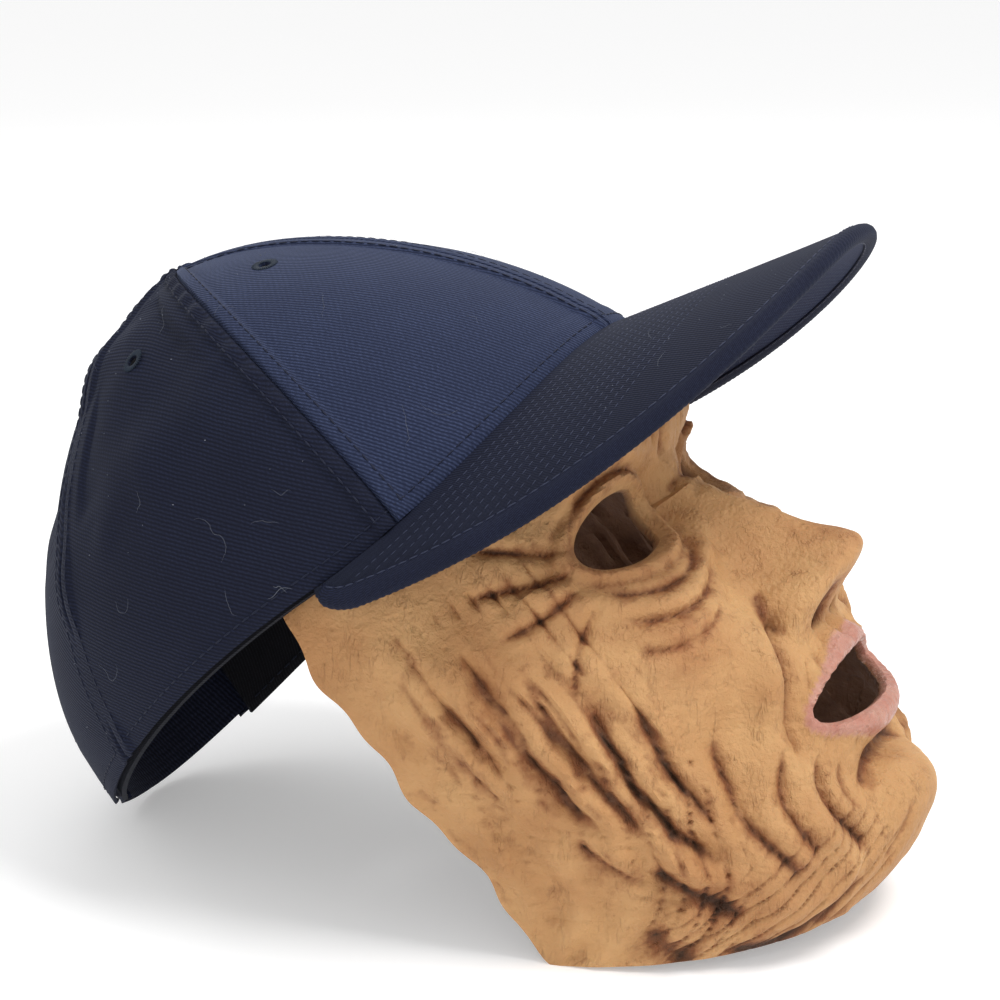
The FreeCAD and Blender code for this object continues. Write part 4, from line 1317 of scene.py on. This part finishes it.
def latex_material():
    """Tan latex: a brown wash in the folds, glossy pink lips, mottled flush, pores and hair-fine lines."""
    paint = bpy.data.materials.new("tan_latex")
    paint.use_nodes = True
    tree = paint.node_tree
    shader = tree.nodes["Principled BSDF"]
    place = tree.nodes.new("ShaderNodeTexCoord").outputs["Object"]

    def mask(name):
        attribute = tree.nodes.new("ShaderNodeAttribute")
        attribute.attribute_name = name
        return attribute.outputs["Fac"]

    def blend(factor, first, second):
        return blended(tree, factor, first, second)

    def clamp_range(value, low, high):
        ranged = tree.nodes.new("ShaderNodeMapRange")
        set_inputs(ranged, {"From Min": low, "From Max": high})
        tree.links.new(value, ranged.inputs["Value"])
        return ranged.outputs[0]

    wash, lips, flush = mask("wash"), mask("lips"), mask("flush")
    broad = noise_texture(tree, place, 38.0, 3.0)
    medium = noise_texture(tree, place, 170.0, 4.0, 0.6)
    grain = noise_texture(tree, place, 900.0, 3.0, 0.65)
    stretched = tree.nodes.new("ShaderNodeMapping")
    set_inputs(stretched, {"Scale": (1.0, 1.0, 0.22)})
    tree.links.new(place, stretched.inputs["Vector"])
    lines = noise_texture(tree, stretched.outputs[0], 240.0, 3.0, 0.7)
    cracks = clamp_range(math_node(tree, "ABSOLUTE", math_node(tree, "SUBTRACT", lines, 0.5)), 0.0, 0.045)
    cracks = math_node(tree, "SUBTRACT", 1.0, cracks)
    pores_texture = tree.nodes.new("ShaderNodeTexVoronoi")
    set_inputs(pores_texture, {"Scale": 420.0})
    tree.links.new(place, pores_texture.inputs["Vector"])
    pores = clamp_range(pores_texture.outputs["Distance"], 0.12, 0.42)

    tan = blend(clamp_range(broad, 0.35, 0.68), (0.42, 0.205, 0.076), (0.56, 0.318, 0.134))
    mottled = math_node(tree, "MULTIPLY", clamp_range(flush, 0.0, 1.0), clamp_range(medium, 0.3, 0.75))
    tan = blend(mottled, tan, (0.34, 0.12, 0.045))
    freckles = clamp_range(noise_texture(tree, place, 520.0), 0.64, 0.74)
    rubbed = math_node(tree, "MULTIPLY_ADD", math_node(tree, "SUBTRACT", medium, 0.5), 0.95, wash)
    rubbed = math_node(tree, "MULTIPLY_ADD", freckles, 0.16, rubbed)
    rubbed = math_node(tree, "MULTIPLY", clamp_range(rubbed, 0.16, 0.62), 0.94)
    deep = blend(clamp_range(wash, 0.45, 0.95), (0.21, 0.064, 0.017), (0.03, 0.009, 0.004))
    skin = blend(rubbed, tan, deep)
    hairline = math_node(tree, "MULTIPLY", cracks, clamp_range(medium, 0.42, 0.7))
    skin = blend(math_node(tree, "MULTIPLY", hairline, 0.2), skin, (0.2, 0.07, 0.025))
    pink = blend(clamp_range(medium, 0.35, 0.65), (0.42, 0.17, 0.12), (0.52, 0.27, 0.2))
    clean = math_node(tree, "SUBTRACT", 1.0, math_node(tree, "MULTIPLY", rubbed, 0.6))
    skin = blend(math_node(tree, "MULTIPLY", lips, clean), skin, pink)
    # The inner face is painted dark brown: raw latex colour darkened with painted shade.
    raw_and_shaded_inside = blend(clamp_range(medium, 0.3, 0.7), (0.11, 0.042, 0.018), (0.17, 0.075, 0.034))
    skin = blend(mask("inside"), skin, raw_and_shaded_inside)
    tree.links.new(skin, shader.inputs["Base Color"])

    polish = math_node(tree, "MULTIPLY_ADD", lips, -0.33, 0.62)
    tree.links.new(math_node(tree, "MULTIPLY_ADD", grain, 0.12, polish), shader.inputs["Roughness"])
    set_inputs(shader, {
        "Subsurface Weight": 0.12,
        "Subsurface Radius": (1.0, 0.45, 0.25),
        "Subsurface Scale": 0.002,
        "IOR": 1.45,
    })
    height = math_node(tree, "MULTIPLY", medium, 0.75)
    height = math_node(tree, "MULTIPLY_ADD", grain, 0.5, height)
    height = math_node(tree, "MULTIPLY_ADD", hairline, -0.3, height)
    height = math_node(tree, "MULTIPLY_ADD", pores, 0.16, height)
    emboss(tree, shader, height, 0.75, 0.0016)
    return paint


FACE_COLUMNS, FACE_ROWS = 236, 200
piece = laid_grid("latex_old_face", FACE_COLUMNS, FACE_ROWS, lambda u, v: face_shape(u, 1.0 - v))
mesh = piece.data
for name, values in zip(("wash", "lips", "flush"), face_extra["masks"]):
    mesh.attributes.new(name=name, type="FLOAT", domain="POINT").data.foreach_set("value", values.ravel())
solid = ~face_extra["open"].ravel()
skin_mesh = bmesh.new()
skin_mesh.from_mesh(mesh)
skin_mesh.verts.ensure_lookup_table()
bmesh.ops.delete(skin_mesh, geom=[skin_mesh.verts[i] for i in np.flatnonzero(~solid)], context="VERTS")
skin_mesh.to_mesh(mesh)
skin_mesh.free()
thicken(piece, 0.0005, -1.0)
inner = on_rest(face_extra["inner"].reshape(-1, 3)[solid] / 1000.0)
count = len(inner)
flat = np.empty(len(mesh.vertices) * 3)
mesh.vertices.foreach_get("co", flat)
flat = flat.reshape(-1, 3)
flat[count : 2 * count] = inner
mesh.vertices.foreach_set("co", flat.ravel())
inside = np.zeros(len(mesh.vertices))
inside[count : 2 * count] = 1.0
mesh.attributes.new(name="inside", type="FLOAT", domain="POINT").data.foreach_set("value", inside)
mesh.update()
mesh.materials.append(latex_material())
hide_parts("latex_face")
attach(piece, "root")


# ---------------------------------------------------------------- tacks, lint and loose ends
# White thread bars hold the latex to the sweatband. Fine pale hairs and specks of lint cling to the
# twill, and a cut thread end is left where the visor's corner meets the hem.

TACK_COUNT, TACK_LEVEL, TACK_LENGTH = 9, 0.05, 0.005
TACK_BARS, TACK_DEPTH, TACK_THREAD = (-0.005, 0.0, 0.005), 0.9, 0.0004
pale_thread = thread_material("pale_thread", (0.72, 0.7, 0.64))
tack_frames = []
for index in range(TACK_COUNT):
    quarter = (0.06 + 0.88 * index / (TACK_COUNT - 1.0) - 0.5) * math.pi
    shares = np.linspace(-1.0, 1.0, 400)
    turns = shares * (0.78 + 0.22 * shares**2) * math.pi / 2.0
    middle = (np.interp(quarter, turns, shares) + 1.0) / 2.0
    span = np.linspace(middle - 0.02, middle + 0.02, 41)[None, :]
    for bar in TACK_BARS:
        outer, normal, _ = face_layers(span, np.full_like(span, TACK_LEVEL + bar))
        line = (outer - normal * (1000.0 * LATEX_THICKNESS + TACK_DEPTH))[0] / 1000.0
        run = np.linalg.norm(np.diff(line, axis=0), axis=1).sum()
        first = int(20 - 20 * TACK_LENGTH / run)
        line = line[first : 41 - first]
        length = np.linalg.norm(np.diff(line, axis=0), axis=1).sum()
        facing = -normal[0][first : 41 - first]
        tack_frames += stitches_along(line, facing, length, 0.7 * length, TACK_THREAD)[:1]
piece = copies("tack_thread_bars", tack_frames, pale_thread)
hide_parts("tack_stitches")
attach(piece, "root")

CROWN_HAIRS, VISOR_HAIRS, HAIR_RADIUS = 46, 12, 0.00004
CROWN_SPECKS, VISOR_SPECKS, SPECK_SIZES = 170, 90, (0.00006, 0.00015)
THREAD_END_RADIUS = 0.00008
chance = np.random.default_rng(7)


HAIR_TURNS = (0.0, 2.0944, 4.1888)


def fibre_mesh(name, paths, radius, paint):
    """Three-sided hairs that run along paths of points and taper at both ends."""
    points, polygons = [], []
    for path in paths:
        base = len(points)
        tangents = np.gradient(path, axis=0)
        tangents /= np.maximum(np.linalg.norm(tangents, axis=1, keepdims=True), 1e-9)
        side = np.cross(tangents, (0.31, 0.74, 0.59))
        side /= np.linalg.norm(side, axis=1, keepdims=True)
        other = np.cross(tangents, side)
        taper = np.sin(np.linspace(0.12, math.pi - 0.12, len(path))) ** 0.5 * radius
        for row in range(len(path)):
            for turn in HAIR_TURNS:
                ray = side[row] * math.cos(turn) + other[row] * math.sin(turn)
                points.append(path[row] + ray * taper[row])
        for row in range(len(path) - 1):
            for corner in range(3):
                a, b = base + 3 * row + corner, base + 3 * row + (corner + 1) % 3
                polygons.append((a, b, b + 3, a + 3))
        last = base + 3 * (len(path) - 1)
        polygons += [(base + 2, base + 1, base), (last, last + 1, last + 2)]
    mesh = bpy.data.meshes.new(name)
    mesh.from_pydata(on_rest(np.array(points)).tolist(), [], polygons)
    mesh.materials.append(paint)
    made = bpy.data.objects.new(name, mesh)
    bpy.context.scene.collection.objects.link(made)
    mesh.shade_smooth()
    return made


def crown_curl(angle, level, length):
    """A hair that wanders over the crown from one place."""
    count = 26
    heading = chance.uniform(0.0, 2.0 * math.pi) + np.cumsum(chance.normal(0.0, 0.28, count))
    step = length / count
    levels = np.clip(level + np.cumsum(np.sin(heading)) * step / 0.13, 0.03, 0.95)
    angles = angle + np.cumsum(np.cos(heading)) * step / 0.09
    line, normals = crown_line(angles, levels)
    lift = 0.0002 + 0.0007 * np.sin(np.linspace(0.0, math.pi * chance.uniform(0.6, 2.4), count)) ** 2
    return line + normals * lift[:, None]


hairs = [
    crown_curl(chance.uniform(-2.9, 2.9), chance.uniform(0.08, 0.9), chance.uniform(0.004, 0.019))
    for _ in range(CROWN_HAIRS)
]
for _ in range(VISOR_HAIRS):
    start = np.array([chance.uniform(0.06, 0.15), chance.uniform(-0.06, 0.06)])
    heading = chance.uniform(0.0, 6.28) + np.cumsum(chance.normal(0.0, 0.3, 20))
    reach = chance.uniform(0.0002, 0.0006)
    plan = start + np.stack([np.cos(heading), np.sin(heading)], -1).cumsum(axis=0) * reach
    if np.hypot(*(plan / (CROWN_FRONT, CROWN_SIDE)).T).min() > 1.03:
        hairs.append(visor_point(plan, np.full(len(plan), VISOR_CLOTH_LIFT + 0.0003)))
lint_paint = thread_material("lint", (0.17, 0.185, 0.23))
piece = fibre_mesh("clinging_hairs", hairs, HAIR_RADIUS, lint_paint)
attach(piece, "root")

speck_frames = []
for _ in range(CROWN_SPECKS):
    angle = np.array([chance.uniform(-2.9, 2.9)])
    line, normals = crown_line(angle, np.array([chance.uniform(0.04, 0.92)]))
    size = chance.uniform(*SPECK_SIZES)
    axes = np.linalg.qr(chance.normal(size=(3, 3)))[0] * size
    speck_frames.append((line[0] + normals[0] * 0.0001, axes[0] * 1.8, axes[1], axes[2]))
for _ in range(VISOR_SPECKS):
    plan = np.array([[chance.uniform(0.05, 0.165), chance.uniform(-0.07, 0.07)]])
    outside = np.hypot(*(plan[0] / (CROWN_FRONT, CROWN_SIDE)))
    tip = np.hypot((plan[0, 0] - VISOR_CORNER_X) / 0.135, plan[0, 1] / 0.08)
    if outside > 1.03 and tip < 1.0:
        size = chance.uniform(*SPECK_SIZES)
        axes = np.linalg.qr(chance.normal(size=(3, 3)))[0] * size
        place = visor_point(plan, np.array([VISOR_CLOTH_LIFT]))[0]
        speck_frames.append((place, axes[0] * 1.8, axes[1], axes[2]))
piece = copies("lint_specks", speck_frames, lint_paint)
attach(piece, "root")

corner_ends = []
for side in (-1.0, 1.0):
    for turn, reach in ((0.35, 0.0055), (1.2, 0.0035)):
        along = np.linspace(0.0, 1.0, 16)
        angles = side * (CORNER_ANGLE + 0.03 + 0.02 * turn + reach * along * math.cos(turn) / 0.085)
        levels = 0.02 + reach * along * math.sin(turn) / 0.12 + 0.006 * np.sin(along * 5.0)
        line, normals = crown_line(angles, levels)
        corner_ends.append(line + normals * (0.0003 + 0.0011 * along**2)[:, None])
piece = fibre_mesh("cut_thread_ends", corner_ends, THREAD_END_RADIUS, lint_paint)
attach(piece, "root")
